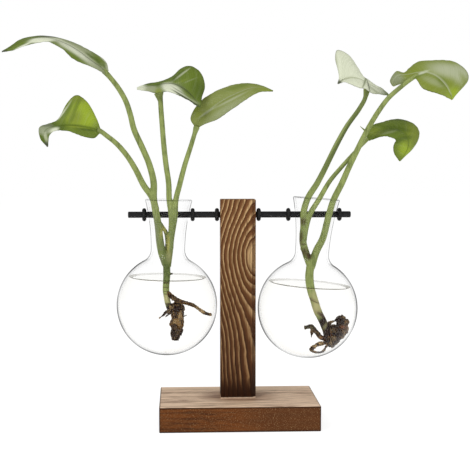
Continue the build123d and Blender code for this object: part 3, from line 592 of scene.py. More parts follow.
class Wire:
    """A shader socket that does sums: each operator adds one Math node."""

    def __init__(self, finish, socket):
        self.finish = finish
        self.socket = socket

    def maths(self, operation, *others):
        """The result of a Math node that takes this socket first."""
        values = dict(enumerate((self, *others)))
        return self.finish.add("Math", {"operation": operation}, values)

    def __add__(self, other):
        return self.maths("ADD", other)

    def __sub__(self, other):
        return self.maths("SUBTRACT", other)

    def __rsub__(self, other):
        return self.finish.add("Math", {"operation": "SUBTRACT"}, {0: other, 1: self})

    def __mul__(self, other):
        return self.maths("MULTIPLY", other)

    def __truediv__(self, other):
        return self.maths("DIVIDE", other)

    def __pow__(self, other):
        return self.maths("POWER", other)

    __radd__ = __add__
    __rmul__ = __mul__


class Finish:
    """A material or a world in the making, whose nodes are joined up as they are added."""

    def __init__(self, name=None, world=None):
        self.owner = world or bpy.data.materials.new(name)
        self.owner.use_nodes = True
        self.owner.node_tree.nodes.clear()

    def add(self, kind, settings=None, sockets=None, output=0):
        """One node: its settings come first, then what its sockets take.

        A socket takes a value, a wire or the name of a colour.
        """
        tree = self.owner.node_tree
        node = tree.nodes.new(f"ShaderNode{kind}")
        for name, value in (settings or {}).items():
            if name == "stops":
                lay_stops(node.color_ramp, value)
            else:
                setattr(node, name, value)
        for place, value in (sockets or {}).items():
            if isinstance(value, Wire):
                tree.links.new(value.socket, node.inputs[place])
                continue
            node.inputs[place].default_value = painted(value) if isinstance(value, str) else value
        return Wire(self, node.outputs[output]) if node.outputs else node

    def mixed(self, share, first, second):
        """Two colours mixed by a share."""
        return self.add("Mix", {"data_type": "RGBA"}, {0: share, 6: first, 7: second}, output=2)

    def layered(self, base, *layers):
        """A colour with others laid over it in turn, each a share and a colour."""
        for share, tone in layers:
            base = self.mixed(share, base, tone)
        return base

    def blended(self, share, first, second):
        """Two shaders mixed by a share."""
        return self.add("MixShader", None, {0: share, 1: first, 2: second})

    def noise(self, place, scale, detail, roughness=0.5, distortion=0.0):
        """Soft noise from 0 to 1 at a place."""
        sockets = {"Vector": place, "Scale": scale, "Detail": detail, "Roughness": roughness}
        return self.add("TexNoise", None, {**sockets, "Distortion": distortion})

    def ramp(self, value, *stops):
        """What a value reads as between stops, each a place and the grey there."""
        return self.add("ValToRGB", {"stops": stops}, {0: value})

    def stretched(self, place, scale):
        """A place scaled differently along each axis."""
        return self.add("Mapping", None, {"Vector": place, "Scale": scale})

    def object_place(self):
        """The shaded point in the object's own coordinates, in metres."""
        return self.add("TexCoord", output="Object")

    def axes(self, place):
        """A place's X, Y and Z."""
        return [self.add("SeparateXYZ", None, {0: place}, axis) for axis in "XYZ"]

    def attribute(self, name, output="Fac"):
        """A value that the mesh carries at each point, or a colour."""
        return self.add("Attribute", {"attribute_name": name}, output=output)

    def toned(self, base, torn, *stops):
        """A base with the mesh's patches of colour over it, where the torn cover says."""
        return self.mixed(self.ramp(torn, *stops), base, self.attribute("tone", "Color"))

    def bump(self, height, distance, strength=1.0):
        """A normal that leans with a height, whose unit is the distance in metres."""
        sockets = {"Height": height, "Distance": distance, "Strength": strength}
        return self.add("Bump", None, sockets)

    def clear(self, tint):
        """A shader that light passes through without bending."""
        return self.add("BsdfTransparent", None, {0: tint})

    def grazing(self):
        """0 where a face is seen square on, 1 where it is seen edge on."""
        return self.add("LayerWeight", None, {"Blend": 0.5}, "Facing")

    def glazed(self, shader, most, least):
        """A shader with a mirror over it: its share is most * grazing^4 + least."""
        gloss = self.add("BsdfGlossy", None, {"Color": white, "Roughness": 0.02})
        return self.blended(self.grazing() ** 4.0 * most + least, shader, gloss)

    def surface(self, tone, roughness, bump, mirror, coat=0.0, metallic=0.0):
        """Ends the material with a principled shader."""
        sockets = {"Base Color": tone, "Roughness": roughness, "Normal": bump}
        sockets |= {"Specular IOR Level": mirror, "Coat Weight": coat, "Metallic": metallic}
        return self.end(self.add("BsdfPrincipled", None, sockets))

    def end_clear(self, shader):
        """Ends a clear material, whose eighth surface in a row shows plain white.

        A ray is lost, and would show black, when it passes through more surfaces than that.
        """
        passed = self.add("LightPath", output="Transparent Depth")
        glow = self.add("Emission", None, {0: white, 1: 1.0})
        return self.end(self.blended(passed.maths("GREATER_THAN", 6.5), shader, glow))

    def end(self, shader):
        """Ends the material or world with a shader and gives it back."""
        kind = "World" if isinstance(self.owner, bpy.types.World) else "Material"
        self.add(f"Output{kind}", None, {0: shader})
        return self.owner


def within(value, low, high):
    """How far a value or a wire lies from low, where it is 0, to high, where it is 1."""
    return (value - low) / (high - low)


def lay_stops(ramp, stops):
    """Gives a colour ramp its stops, each a place and a grey."""
    while len(ramp.elements) > 1:
        ramp.elements.remove(ramp.elements[-1])
    for number, (place, grey) in enumerate(stops):
        element = ramp.elements[0] if number == 0 else ramp.elements.new(place)
        element.position = place
        element.color = (grey, grey, grey, 1.0)


def unit(vectors):
    """Vectors divided by their own lengths."""
    return vectors / np.maximum(np.linalg.norm(vectors, axis=-1, keepdims=True), 1e-12)


def smooth_rows(rows, knots, at):
    """Rows of values read between their knots.

    Between two knots the value is the cubic with their values and slopes, and the slope at a
    knot is that of the parabola through it and its neighbours.
    """
    rows = np.asarray(rows, float)
    slopes = np.gradient(rows, knots, axis=0)
    span = np.clip(np.searchsorted(knots, at, side="right") - 1, 0, len(knots) - 2)
    shape = (-1,) + (1,) * (rows.ndim - 1)
    width = (knots[span + 1] - knots[span]).reshape(shape)
    t = (at - knots[span]).reshape(shape) / width
    start, end = rows[span], rows[span + 1]
    start_slope, end_slope = slopes[span] * width, slopes[span + 1] * width
    return (
        (2 * t**3 - 3 * t**2 + 1) * start
        + (t**3 - 2 * t**2 + t) * start_slope
        + (3 * t**2 - 2 * t**3) * end
        + (t**3 - t**2) * end_slope
    )


def knots_of(places):
    """How far along its own chords each place lies, from 0 to 1."""
    steps = np.linalg.norm(np.diff(places, axis=0), axis=1)
    return np.concatenate([[0.0], np.cumsum(steps)]) / steps.sum()


def ripple(u, v, seed, coarse=3):
    """Smooth noise about 0: the mean of sines of u and v with seeded pitches and phases.

    v is a full turn from 0 to 1, so its pitches are whole numbers and its ends meet.
    """
    count = 6
    draw = np.random.default_rng(seed)
    total = np.zeros(np.broadcast(u, v).shape)
    for number in range(count):
        pitch = draw.uniform(0.5, 1.0) * coarse * 1.6**number
        turns = draw.integers(0, 2 + number)
        phase = draw.uniform(0, 2 * np.pi, 2)
        weight = 0.75**number
        total += weight * np.sin(2 * np.pi * pitch * u + phase[0] + 2 * np.pi * turns * v)
    return total / count


def closed_grid(points):
    """The points and faces of a grid whose columns wrap and whose two ends meet at poles.

    A pole is the middle of its end row, joined to that row by three-sided faces. The faces
    come as two arrays, the four-sided ones and then the caps.
    """
    rows, columns = points.shape[:2]
    ends = np.stack([points[0].mean(0), points[-1].mean(0)])
    around = np.arange(columns)
    after = (around + 1) % columns
    start = np.arange(rows - 1)[:, None] * columns
    quads = [start + around, start + after, start + columns + after, start + columns + around]
    first, last = rows * columns, rows * columns + 1
    end = (rows - 1) * columns
    caps = [
        np.stack([np.full(columns, first), after, around], -1),
        np.stack([np.full(columns, last), end + around, end + after], -1),
    ]
    faces = [np.stack(quads, -1).reshape(-1, 4), np.concatenate(caps)]
    return np.concatenate([points.reshape(-1, 3), ends]), faces


def with_poles(values):
    """Values of a grid's points with the mean of each end row added for the poles."""
    flat = values.reshape(-1, *values.shape[2:])
    return np.concatenate([flat, values[0].mean(0)[None], values[-1].mean(0)[None]])


def placed(name, data):
    """A new object in the scene."""
    made = bpy.data.objects.new(name, data)
    bpy.context.scene.collection.objects.link(made)
    return made


def read_all(items, field, width=1, kind=np.float32):
    """One field of every item of a collection, as the rows of an array."""
    values = np.zeros(len(items) * width, kind)
    items.foreach_get(field, values)
    return values.reshape(-1, width)


def mesh_points(mesh):
    """A mesh's points as an array."""
    return read_all(mesh.vertices, "co", 3).astype(float)


def give_attributes(mesh, attributes):
    """Writes values and colours, one to a point, into a mesh."""
    for key, values in attributes.items():
        kind, field = ("FLOAT", "value") if values.ndim == 1 else ("FLOAT_COLOR", "color")
        attribute = mesh.attributes.new(key, kind, "POINT")
        attribute.data.foreach_set(field, values.astype(np.float32).ravel())


def shade_smooth(mesh):
    """Shades every face smooth."""
    mesh.polygons.foreach_set("use_smooth", np.ones(len(mesh.polygons), bool))


def settle(made):
    """Gives a piece the mesh that its modifiers make, and gives that mesh back."""
    graph = bpy.context.evaluated_depsgraph_get()
    mesh = bpy.data.meshes.new_from_object(made.evaluated_get(graph))
    made.modifiers.clear()
    made.data = mesh
    return mesh


def lay_mesh(name, shells, material):
    """One object made of closed shells, each its points, its faces and its attributes."""
    points, faces, values, offset = [], [], {}, 0
    for shell_points, shell_faces, attributes in shells:
        points.append(shell_points)
        for alike in shell_faces:
            faces += (alike + offset).tolist()
        offset += len(shell_points)
        for key, value in attributes.items():
            values.setdefault(key, []).append(value)
    mesh = bpy.data.meshes.new(name)
    mesh.from_pydata(np.concatenate(points).tolist(), [], faces)
    give_attributes(mesh, {key: np.concatenate(parts) for key, parts in values.items()})
    shade_smooth(mesh)
    mesh.materials.append(material)
    mesh.update()
    return placed(name, mesh)


def seat(made, body, slot, *nodes):
    """The piece rides on its body and stands for its nodes, which are hidden. Its slot is not
    used.
    """
    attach(made, body)
    if nodes:
        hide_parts(*nodes)


def dress(node, material):
    """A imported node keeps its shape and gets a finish."""
    mesh = frame["nodes"][node].data
    mesh.materials.clear()
    mesh.materials.append(material)


class Vase:
    """Where one vase hangs: its upright and level directions, its holes and its bulb.

    The tilt is a share of what the holes' clearance on the rod allows at the neck's wall.
    """

    def __init__(self, side):
        sizes = glass_sizes()
        self.side = side
        self.neck_length = getattr(sizes, f"{side}_neck")
        spread = sizes.rim_radius - sizes.neck_radius
        self.flare = (self.neck_length**2 + spread**2) / (2 * spread)
        above_neck = self.neck_length - sizes.hole_below_rim
        wall = sizes.neck_radius + self.flare - math.sqrt(self.flare**2 - above_neck**2)
        clearance = sizes.hole_radius - sizes.rod_radius - sizes.hang_gap
        lean = getattr(sizes, f"{side}_lean") * math.asin(clearance / wall)
        reach = sizes.bulb_radius + sizes.shoulder_radius
        self.neck_height = math.sqrt(reach**2 - (sizes.neck_radius + sizes.shoulder_radius) ** 2)
        self.hole_height = self.neck_height + above_neck
        swing = next(j for j in frame["joints"] if j["name"] == f"{side}_swing")
        self.holes = np.array(swing["pos_m"])
        self.level = np.array([math.cos(lean), 0.0, -math.sin(lean)])
        self.upright = np.array([math.sin(lean), 0.0, math.cos(lean)])
        self.axes = np.stack([self.level, [0.0, 1.0, 0.0], self.upright])
        self.bulb = self.holes - self.upright * self.hole_height
        self.neck_room = sizes.neck_radius - sizes.wall
        self.bulb_room = sizes.bulb_radius - sizes.wall

    def from_bulb(self, points):
        """Points given from the bulb's centre along the vase's own axes."""
        return self.bulb + np.asarray(points) @ self.axes

    def in_bulb(self, shares):
        """Places given in thousandths of the bulb's room."""
        return self.from_bulb(np.asarray(shares) / 1000 * self.bulb_room)

    def in_neck(self, shares):
        """Places given in thousandths of the neck's room and of the holes' height."""
        room = np.array([self.neck_room, self.neck_room, self.hole_height])
        return self.holes + (np.asarray(shares).reshape(-1, 3) / 1000 * room) @ self.axes

    def in_spray(self, shares):
        """Places given in thousandths of the spray's reach."""
        return self.holes + (np.asarray(shares) / 1000 * plant_sizes().spray_reach) @ self.axes


def vase_of(name):
    """The vase that a piece's name starts with the side of."""
    return Vase(name.split("_")[0])


def arc(centre, radius, start, end, count):
    """Points of an arc in a profile: centre + radius * (cos a, sin a), a in degrees."""
    angles = np.radians(np.linspace(start, end, count))
    return np.stack([centre[0] + radius * np.cos(angles), centre[1] + radius * np.sin(angles)], -1)


def vase_profile(vase, inset, rows):
    """One wall of a vase from the bulb's foot to the rim: bulb, shoulder and flare arcs.

    A point is its distance from the vase's axis and its height over the bulb's centre.
    """
    sizes = glass_sizes()
    hub_reach = sizes.neck_radius + sizes.shoulder_radius
    tip = math.degrees(math.atan2(vase.neck_height, hub_reach))
    rim_turn = math.degrees(math.asin(vase.neck_length / vase.flare))
    bulb = arc((0, 0), sizes.bulb_radius - inset, -90, tip, rows[0])
    shoulder = arc(
        (hub_reach, vase.neck_height), sizes.shoulder_radius + inset, 180 + tip, 180, rows[1]
    )
    hub = (sizes.neck_radius + vase.flare, vase.neck_height)
    flare = arc(hub, vase.flare + inset, 180, 180 - rim_turn, rows[2])
    return np.concatenate([bulb[1:], shoulder[1:], flare[1:]])


def turned(vase, profile, columns):
    """A profile turned about the vase's axis: (radius cos v, radius sin v, height)."""
    angles = np.linspace(0, 2 * np.pi, columns, endpoint=False)
    radius, height = profile[:, :1], profile[:, 1:]
    around = [radius * np.cos(angles), radius * np.sin(angles), height + 0 * angles]
    return vase.from_bulb(np.stack(around, -1))


def make_glass_finish():
    """Clear glass: it mirrors more, and turns dark, where it is seen along its wall.

    The dark is painted shade, here and at the rim, for the darker surroundings that real glass
    bends into view.
    """
    finish = Finish("blown_glass")
    uneven = finish.ramp(finish.noise(finish.object_place(), 30.0, 2.0), (0.38, 0.3), (0.58, 1.0))
    # Painted shade where the glass is seen along its wall and at its rim.
    thin = finish.ramp(finish.grazing(), (0.71, 0.0), (0.89, 1.0))
    dark = thin * finish.attribute("outside") * uneven
    dark = dark.maths("MAXIMUM", finish.attribute("lip") * uneven * 0.35)
    wall = finish.blended(dark, finish.clear(white), finish.clear("glass_line"))
    return finish.end_clear(finish.glazed(wall, 0.18, 0.006))


def make_water_finish():
    """Clear water with a faint warm tint that mirrors a little where it is seen edge on."""
    finish = Finish("water")
    return finish.end_clear(finish.glazed(finish.clear("water_tint"), 0.06, 0.002))


def make_meniscus_finish():
    """The water's edge, which climbs the glass and shows as a thin line, darker in front.

    The line is painted shade for the light that the curved water bends away.
    """
    finish = Finish("water_edge")
    place = finish.object_place()
    bulb_radius = glass_sizes().bulb_radius
    back = within(finish.axes(place)[1], -bulb_radius, bulb_radius)
    # Painted shade, darker at the front of the water's edge.
    near = finish.ramp(back, (0.25, 1.0), (0.75, 0.35))
    share = near * (0.4 + finish.noise(place, 60.0, 2.0) * 0.9)
    return finish.end_clear(
        finish.blended(share, finish.clear("water_tint"), finish.clear("water_line"))
    )


def make_glass(vase, material):
    """A vase as one closed wall, turned, with the rod's two holes cut through its neck."""
    sizes = glass_sizes()
    rows, columns, bore_sides = (72, 14, 40), 144, 64
    outer = vase_profile(vase, 0.0, rows)
    inner = vase_profile(vase, sizes.wall, rows)
    rim_turn = math.degrees(math.asin(vase.neck_length / vase.flare))
    middle = (outer[-1] + inner[-1]) / 2
    lip = arc(middle, sizes.wall / 2, -rim_turn, 180 - rim_turn, 9)[1:-1]
    profile = np.concatenate([outer, lip, inner[::-1]])
    points, faces = closed_grid(turned(vase, profile, columns)[::-1])
    counts = (len(inner), len(lip), len(outer))
    attributes = {}
    for name, shares in (("outside", [0.12, 0.5, 1.0]), ("lip", [0.0, 1.0, 0.0])):
        along = np.repeat(shares, counts)[:, None]
        attributes[name] = with_poles(np.repeat(along, columns, axis=1))
    glass = lay_mesh(f"{vase.side}_blown_glass", [(points, faces, attributes)], material)
    bore = arc((0, 0), sizes.hole_radius, 0, 360, bore_sides + 1)[:-1]
    ends = (-sizes.bulb_radius, sizes.bulb_radius)
    tube = np.stack([np.insert(bore, 0, x, axis=1) for x in ends])
    cutter = lay_mesh("hole_cutter", [(*closed_grid(vase.holes + tube @ vase.axes), {})], material)
    cut = glass.modifiers.new("holes", "BOOLEAN")
    cut.operation = "DIFFERENCE"
    cut.solver = "EXACT"
    cut.object = cutter
    settle(glass).set_sharp_from_angle(angle=math.radians(40))
    bpy.data.objects.remove(cutter)
    seat(glass, f"{vase.side}_vase", "vase_glass", f"{vase.side}_glass")


def make_water(vase, material, edge_material):
    """Water that fills the bulb to its level, and climbs a little where it meets the glass.

    The top lies at level + climb * exp(-(edge - r) / climb) at a distance r from the axis.
    """
    sizes = glass_sizes()
    level = (getattr(sizes, f"{vase.side}_water") - vase.bulb[2]) / vase.upright[2]
    radius = vase.bulb_room - sizes.water_gap
    top = level + sizes.meniscus
    side = arc((0, 0), radius, -90, math.degrees(math.asin(top / radius)), 60)[1:]
    edge = side[-1, 0]
    inward = edge * (1 - np.linspace(0, 1, 30)[1:-1] ** 1.6)
    height = level + sizes.meniscus * np.exp(-(edge - inward) / sizes.meniscus)
    profile = np.concatenate([side, np.stack([inward, height], -1)])
    points, faces = closed_grid(turned(vase, profile, 128)[::-1])
    water = lay_mesh(f"{vase.side}_water", [(points, faces, {})], material)
    water.data.materials.append(edge_material)
    edge_foot = vase.from_bulb([0, 0, level + 0.04 * sizes.meniscus]) @ vase.upright
    above = mesh_points(water.data) @ vase.upright > edge_foot
    corners = read_all(water.data.loops, "vertex_index", kind=np.int32)[:, 0]
    starts = read_all(water.data.polygons, "loop_start", kind=np.int32)[:, 0]
    whole_above = np.minimum.reduceat(above[corners].astype(np.int32), starts)
    water.data.polygons.foreach_set("material_index", whole_above)
    seat(water, f"{vase.side}_vase", "vase_glass")


def sweep(places, radii, *, columns, steps, bumps, seed, flat=1.0, knees=None):
    """A round profile carried along a smooth line.

    A point is place(u) + r(u, v) * (across cos v + up sin v), with r the radius times one
    plus the bumps' noise. Across is level and square to the line, and up is square to both.
    The radii lie at the knees, which are shares of the line, or else evenly along it.
    """
    at = np.linspace(0, 1, steps)
    line = smooth_rows(places, knots_of(places), at)
    if knees is None:
        knees = np.linspace(0, 1, len(radii))
    radius = np.interp(at, knees, radii)
    along = unit(np.gradient(line, axis=0))
    across = unit(np.cross([0.0, 1.0, 0.0], along))
    up = np.cross(along, across)
    turn = np.linspace(0, 1, columns, endpoint=False)[None, :]
    rough = 1 + bumps * ripple(at[:, None], turn, seed)
    reach = (radius[:, None] * rough)[..., None]
    angle = (2 * np.pi * turn)[..., None]
    points = line[:, None] + reach * (
        across[:, None] * np.cos(angle) + flat * up[:, None] * np.sin(angle)
    )
    return (*closed_grid(points), {})


def make_stem_finish():
    """A fresh stalk: fine lengthwise streaks over soft patches, brown low in the water."""
    finish = Finish("stalk")
    place = finish.object_place()
    streaks = finish.noise(finish.stretched(place, (1.0, 1.0, 0.05)), 1100.0, 2.0)
    bands = finish.noise(finish.stretched(place, (1.0, 1.0, 0.10)), 330.0, 2.0)
    mottle = finish.noise(place, 160.0, 3.0)
    worn = streaks * 0.35 + bands * 0.35 + mottle * 0.3
    shade = finish.ramp(worn, (0.34, 0.1), (0.54, 1.0))
    green = finish.mixed(shade, "stem_dark", "stem_green")
    torn = finish.attribute("cover") + (worn - 0.5) * 0.6
    base = finish.toned(green, torn, (0.12, 0.0), (0.80, 1.0))
    return finish.surface(base, 0.42, finish.bump(streaks, 0.0002, 0.5), 0.12)


def joined(name, shells, voxel, rounds, material):
    """Closed shells melted into one skin, where a voxel is the size of its faces."""
    made = lay_mesh(name, shells, material)
    melt = made.modifiers.new("melt", "REMESH")
    melt.mode = "VOXEL"
    melt.voxel_size = voxel
    soften = made.modifiers.new("soften", "SMOOTH")
    soften.factor = 0.5
    soften.iterations = rounds
    shade_smooth(settle(made))
    return made


def roughen(mesh, depth, seed):
    """Moves a mesh's points along their normals by seeded noise.

    The noise is depth times the mean of six sines of the place along seeded directions,
    each with a finer pitch, from 6 mm down to 1 mm. It is kept in the hollow attribute.
    """
    draw = np.random.default_rng(seed)
    points = mesh_points(mesh)
    normals = read_all(mesh.vertex_normals, "vector", 3)
    height = np.zeros(len(points))
    for pitch in np.geomspace(0.006, 0.001, 6):
        direction = unit(draw.normal(size=3))
        height += np.sin(2 * np.pi * (points @ direction) / pitch + draw.uniform(0, 2 * np.pi))
    moved = points + normals * (depth * height / 6)[:, None]
    mesh.vertices.foreach_set("co", moved.astype(np.float32).ravel())
    mesh.update()
    give_attributes(mesh, {"hollow": np.clip(0.5 - height / 4, 0, 1)})


def shoots(vase, table, bumps, seed):
    """The shells of a table of buds or shreds, each with its own seed."""
    grid = {"columns": 16, "steps": 60}
    return [
        sweep(vase.in_spray(rows), np.array(radii) / 10000, **grid, bumps=bumps, seed=seed + k)
        for k, (rows, radii) in enumerate(table)
    ]


def make_stem(vase, cutting, material):
    """The stem of a cutting: its crown in the bulb and the stalks that fork from it."""
    crown_radii = np.array(cutting.crown_radii) / 1000 * vase.bulb_room
    crown = vase.in_bulb(cutting.crown)
    shells = [sweep(crown, crown_radii, columns=32, steps=90, bumps=0.10, seed=1)]
    for number, stalk in enumerate(cutting.stalks):
        places = np.concatenate([vase.in_neck(stalk.neck), vase.in_spray(stalk.spray)])
        start, end, top = np.array(stalk.radii) / 1000 * vase.neck_room
        radii = [1.25 * start, 1.05 * start, end, top]
        knees = [0, 0.16, 0.95, 1]
        grid = {"columns": 28, "steps": 150}
        shells.append(sweep(places, radii, **grid, bumps=0.05, seed=2 + number, knees=knees))
    shells += shoots(vase, cutting.buds, bumps=0.1, seed=31)
    stem = joined(f"{vase.side}_stems", shells, voxel=0.0004, rounds=6, material=material)
    give_attributes(stem.data, lay_patches(vase, mesh_points(stem.data), cutting.patches))
    seat(stem, f"{vase.side}_vase", "stem", f"{vase.side}_cutting_stem")


def make_leaf_finish():
    """A waxy blade: two greens that drift, a pale lower side, its patches and side veins."""
    finish = Finish("leaf_blade")
    place = finish.object_place()
    vein = finish.attribute("vein")
    flow = finish.add("CombineXYZ", None, {0: finish.attribute("flow")})
    streaks = finish.noise(flow, 9.0, 4.0, 0.7)
    grain = finish.noise(place, 900.0, 4.0, 0.6)
    drift = finish.noise(place, 90.0, 3.0, 0.5, 0.4)
    shade = finish.ramp(drift * 0.6 + streaks * 0.4, (0.40, 0.0), (0.60, 1.0))
    over = finish.mixed(shade, "leaf_deep", "leaf_green")
    below = finish.mixed(shade, "leaf_grey", "leaf_pale")
    base = finish.mixed(finish.attribute("under"), over, below)
    torn = finish.attribute("cover") + (streaks - 0.5) * 0.7
    base = finish.toned(base, torn, (0.20, 0.0), (0.75, 1.0))
    light = finish.ramp(streaks, (0.50, 0.0), (0.64, 1.0))
    dark = finish.ramp(streaks, (0.36, 1.0), (0.50, 0.0))
    base = finish.layered(
        base,
        (light * 0.22 + vein * 0.08, "leaf_sheen"),
        (dark * 0.35, "leaf_green"),
        (finish.attribute("midrib") * 0.8, finish.attribute("rib", "Color")),
        (finish.attribute("margin") * 0.75, "leaf_shade"),
    )
    bump = finish.bump(grain * 0.2 + streaks * 0.5 - vein, 0.0003, 0.4)
    return finish.surface(base, 0.34 + drift * 0.2, bump, 0.1, coat=0.04)


def lay_patches(vase, points, patches):
    """The share that patches cover at each point, and their mixed colour there.

    One covers strength * exp(-((a / reach_x)^2 + (b / reach_z)^2)^1.6), where a and b are
    the distances from its place along its own tilted axes. Later ones lie over earlier ones.
    """
    local = ((points - vase.holes) @ vase.axes.T) / plant_sizes().spray_reach
    cover = np.zeros(points.shape[:-1])
    mixed = np.zeros(points.shape)
    for *numbers, tilt, name, strength in patches:
        x, z, reach_x, reach_z = np.array(numbers) / 1000
        turn = math.radians(tilt)
        right, over = local[..., 0] - x, local[..., 2] - z
        a = (right * math.cos(turn) + over * math.sin(turn)) / reach_x
        b = (over * math.cos(turn) - right * math.sin(turn)) / reach_z
        share = strength / 100 * np.exp(-((a**2 + b**2) ** 1.6))
        cover = cover * (1 - share) + share
        share = share[..., None]
        mixed = mixed * (1 - share) + share * np.array(painted(name)[:3])
    tone = mixed / np.maximum(cover, 1e-6)[..., None]
    return {"cover": cover, "tone": np.concatenate([tone, np.ones((*cover.shape, 1))], -1)}


def make_leaf(vase, name, blade, material):
    """A blade over its midrib, far edge and near edge.

    Across a half, a point is rib + s (edge - rib) + bulge 4 s (1 - s) up, with s from 0 at
    the midrib to 1 at the margin, and bulge a share of the half's width. The two faces stand
    half the thickness off that sheet, and the thickness shrinks to nothing at the margin as
    sqrt(1 - s^6).
    """
    sizes = plant_sizes()
    steps, half_columns = 140, 22
    bulge, veins, slant = 0.1, 9, 1.2
    places = vase.in_spray(np.reshape(blade.rows, (-1, 3))).reshape(-1, 3, 3)
    u = np.linspace(0, 1, steps)
    rib, far, near = np.moveaxis(smooth_rows(places, knots_of(places[:, 0]), u), 1, 0)
    half = np.sin(np.linspace(0, np.pi / 2, half_columns))
    v = np.concatenate([-half[:0:-1], half])
    off = np.abs(v)[None, :]
    s = off[..., None]
    beyond = (v > 0)[None, :, None]
    chord = np.where(beyond, far[:, None], near[:, None]) - rib[:, None]
    across = unit(far - near)
    along = np.gradient(rib, axis=0)
    along = unit(along - across * np.sum(along * across, -1, keepdims=True))
    up = unit(np.cross(along[:, None], chord) * np.where(beyond, 1.0, -1.0)) * blade.upper
    width = np.linalg.norm(chord, axis=-1, keepdims=True)
    furrows = np.cos(2 * np.pi * (u[:, None] * veins + slant * off**1.4))
    vein = np.clip(furrows, 0, 1) ** 6 * (1 - off**4) * np.minimum(1, off * 4)
    wave = ripple(u[:, None], v[None, :] * 0.5, seed=11, coarse=5)[..., None]
    wave = sizes.margin_wave * wave * s**3 * 3
    sheet = rib[:, None] + s * chord + up * (bulge * 4 * s * (1 - s) * width + wave)
    normal = unit(np.cross(np.gradient(sheet, axis=0), np.gradient(sheet, axis=1)))
    normal = normal * np.sign(np.sum(normal * up, -1, keepdims=True))
    normal = unit(normal + up * 0.3)
    thick = sizes.blade_edge + (sizes.blade_rib - sizes.blade_edge) * (1 - s) ** 6
    thick = np.minimum(thick, width * 0.5 + 0.0002) * np.sqrt(np.clip(1 - s**6, 0, 1)) / 2
    furrow = vein[..., None] * sizes.vein_depth
    upper_face = sheet + normal * (thick - furrow)
    lower_face = sheet - normal * (thick + furrow)
    order = slice(None, None, -1 if blade.upper < 0 else 1)

    def around(top, low):
        """The top's values from edge to edge and the lower side's back, in the faces' order."""
        return np.concatenate([top, low[:, -2:0:-1]], axis=1)[:, order]

    all_v = np.tile(v, (steps, 1))
    ring_v = around(all_v, all_v)
    ring_off = np.abs(ring_v)
    points, faces = closed_grid(around(upper_face, lower_face))
    attributes = {
        "vein": around(vein, vein),
        "margin": np.clip((ring_off - 0.94) / 0.06, 0, 1) ** 1.5,
        "flow": u[:, None] * 12 + 2.2 * ring_off**1.4 + 5 * (ring_v > 0),
        "midrib": np.exp(-((ring_v / 0.04) ** 2)),
        "under": around(np.zeros_like(vein), np.ones_like(vein)),
    }
    attributes = {key: with_poles(values) for key, values in attributes.items()}
    attributes["rib"] = np.tile(painted(blade.rib), (len(points), 1))
    attributes |= lay_patches(vase, points, blade.patches)
    leaf = lay_mesh(f"{name}_blade", [(points, faces, attributes)], material)
    seat(leaf, f"{vase.side}_vase", "leaf", name)


def make_root_finish(name, scale):
    """A wet root: dark and light bark in ragged patches along it."""
    finish = Finish(name)
    place = finish.object_place()
    patches = finish.noise(place, scale, 5.0, 0.65, 0.6)
    fine = finish.noise(place, scale * 5, 4.0, 0.6)
    share = finish.ramp(patches * 0.5 + fine * 0.5, (0.46, 0.0), (0.54, 1.0))
    base = finish.mixed(share, "root_dark", "root_tan")
    torn = finish.attribute("cover") + (fine - 0.5) * 0.9
    base = finish.toned(base, torn, (0.25, 0.0), (0.65, 0.92))
    hollow = finish.attribute("hollow")
    base = finish.layered(
        base,
        (finish.ramp(fine, (0.40, 1.0), (0.5, 0.0)) * 0.8, "root_dark"),
        # Darker in the hollows of the roughened skin, paler on its raised parts in places.
        (finish.ramp(hollow, (0.55, 0.0), (0.80, 0.85)), "root_dark"),
        (finish.ramp(hollow, (0.12, 0.5), (0.30, 0.0)) * patches, "root_pale"),
    )
    return finish.surface(base, 0.4, finish.bump(patches + fine * 0.6, 0.0016), 0.06)


def make_lump(vase, name, root, material):
    """An oval root body carried along its places, with bark-like bumps, knobs and shreds."""
    rows = np.array(root.lump)
    places = vase.in_bulb(rows[:, :3])
    width, depth = rows[:, 3:].T / 1000
    at = np.linspace(0, 1, len(rows) * 3)
    radii = smooth_rows(width[:, None] * vase.bulb_room, knots_of(places), at)[:, 0]
    flat = depth.mean() / width.mean()
    shell = sweep(places, radii, columns=48, steps=120, bumps=0.55, seed=root.seed, flat=flat)
    lay_roots(vase, name, f"{name}_bark", "root_bark", [shell], material)


def make_strands(vase, name, root, material):
    """Thin roots, each a bumpy tube along its own line."""
    grid = {"columns": 20, "steps": 110}
    shells = []
    for number, (rows, shares) in enumerate(root.strands):
        radii = np.array(shares) / 1000 * vase.bulb_room
        seed = root.seed + number
        shells.append(sweep(vase.in_bulb(rows), radii, **grid, bumps=0.45, seed=seed))
    lay_roots(vase, name, f"{name}_strand", "root", shells, material)


def lay_roots(vase, node, name, slot, shells, material):
    """Melts a root's shells and its shreds into one skin, and gives it its patches."""
    root = roots[node]
    shells = shells + shoots(vase, root.shreds, bumps=0.5, seed=41)
    made = joined(name, shells, voxel=0.00028, rounds=2, material=material)
    roughen(made.data, depth=0.0007, seed=51)
    give_attributes(made.data, lay_patches(vase, mesh_points(made.data), root.patches))
    seat(made, f"{vase.side}_vase", slot, node)


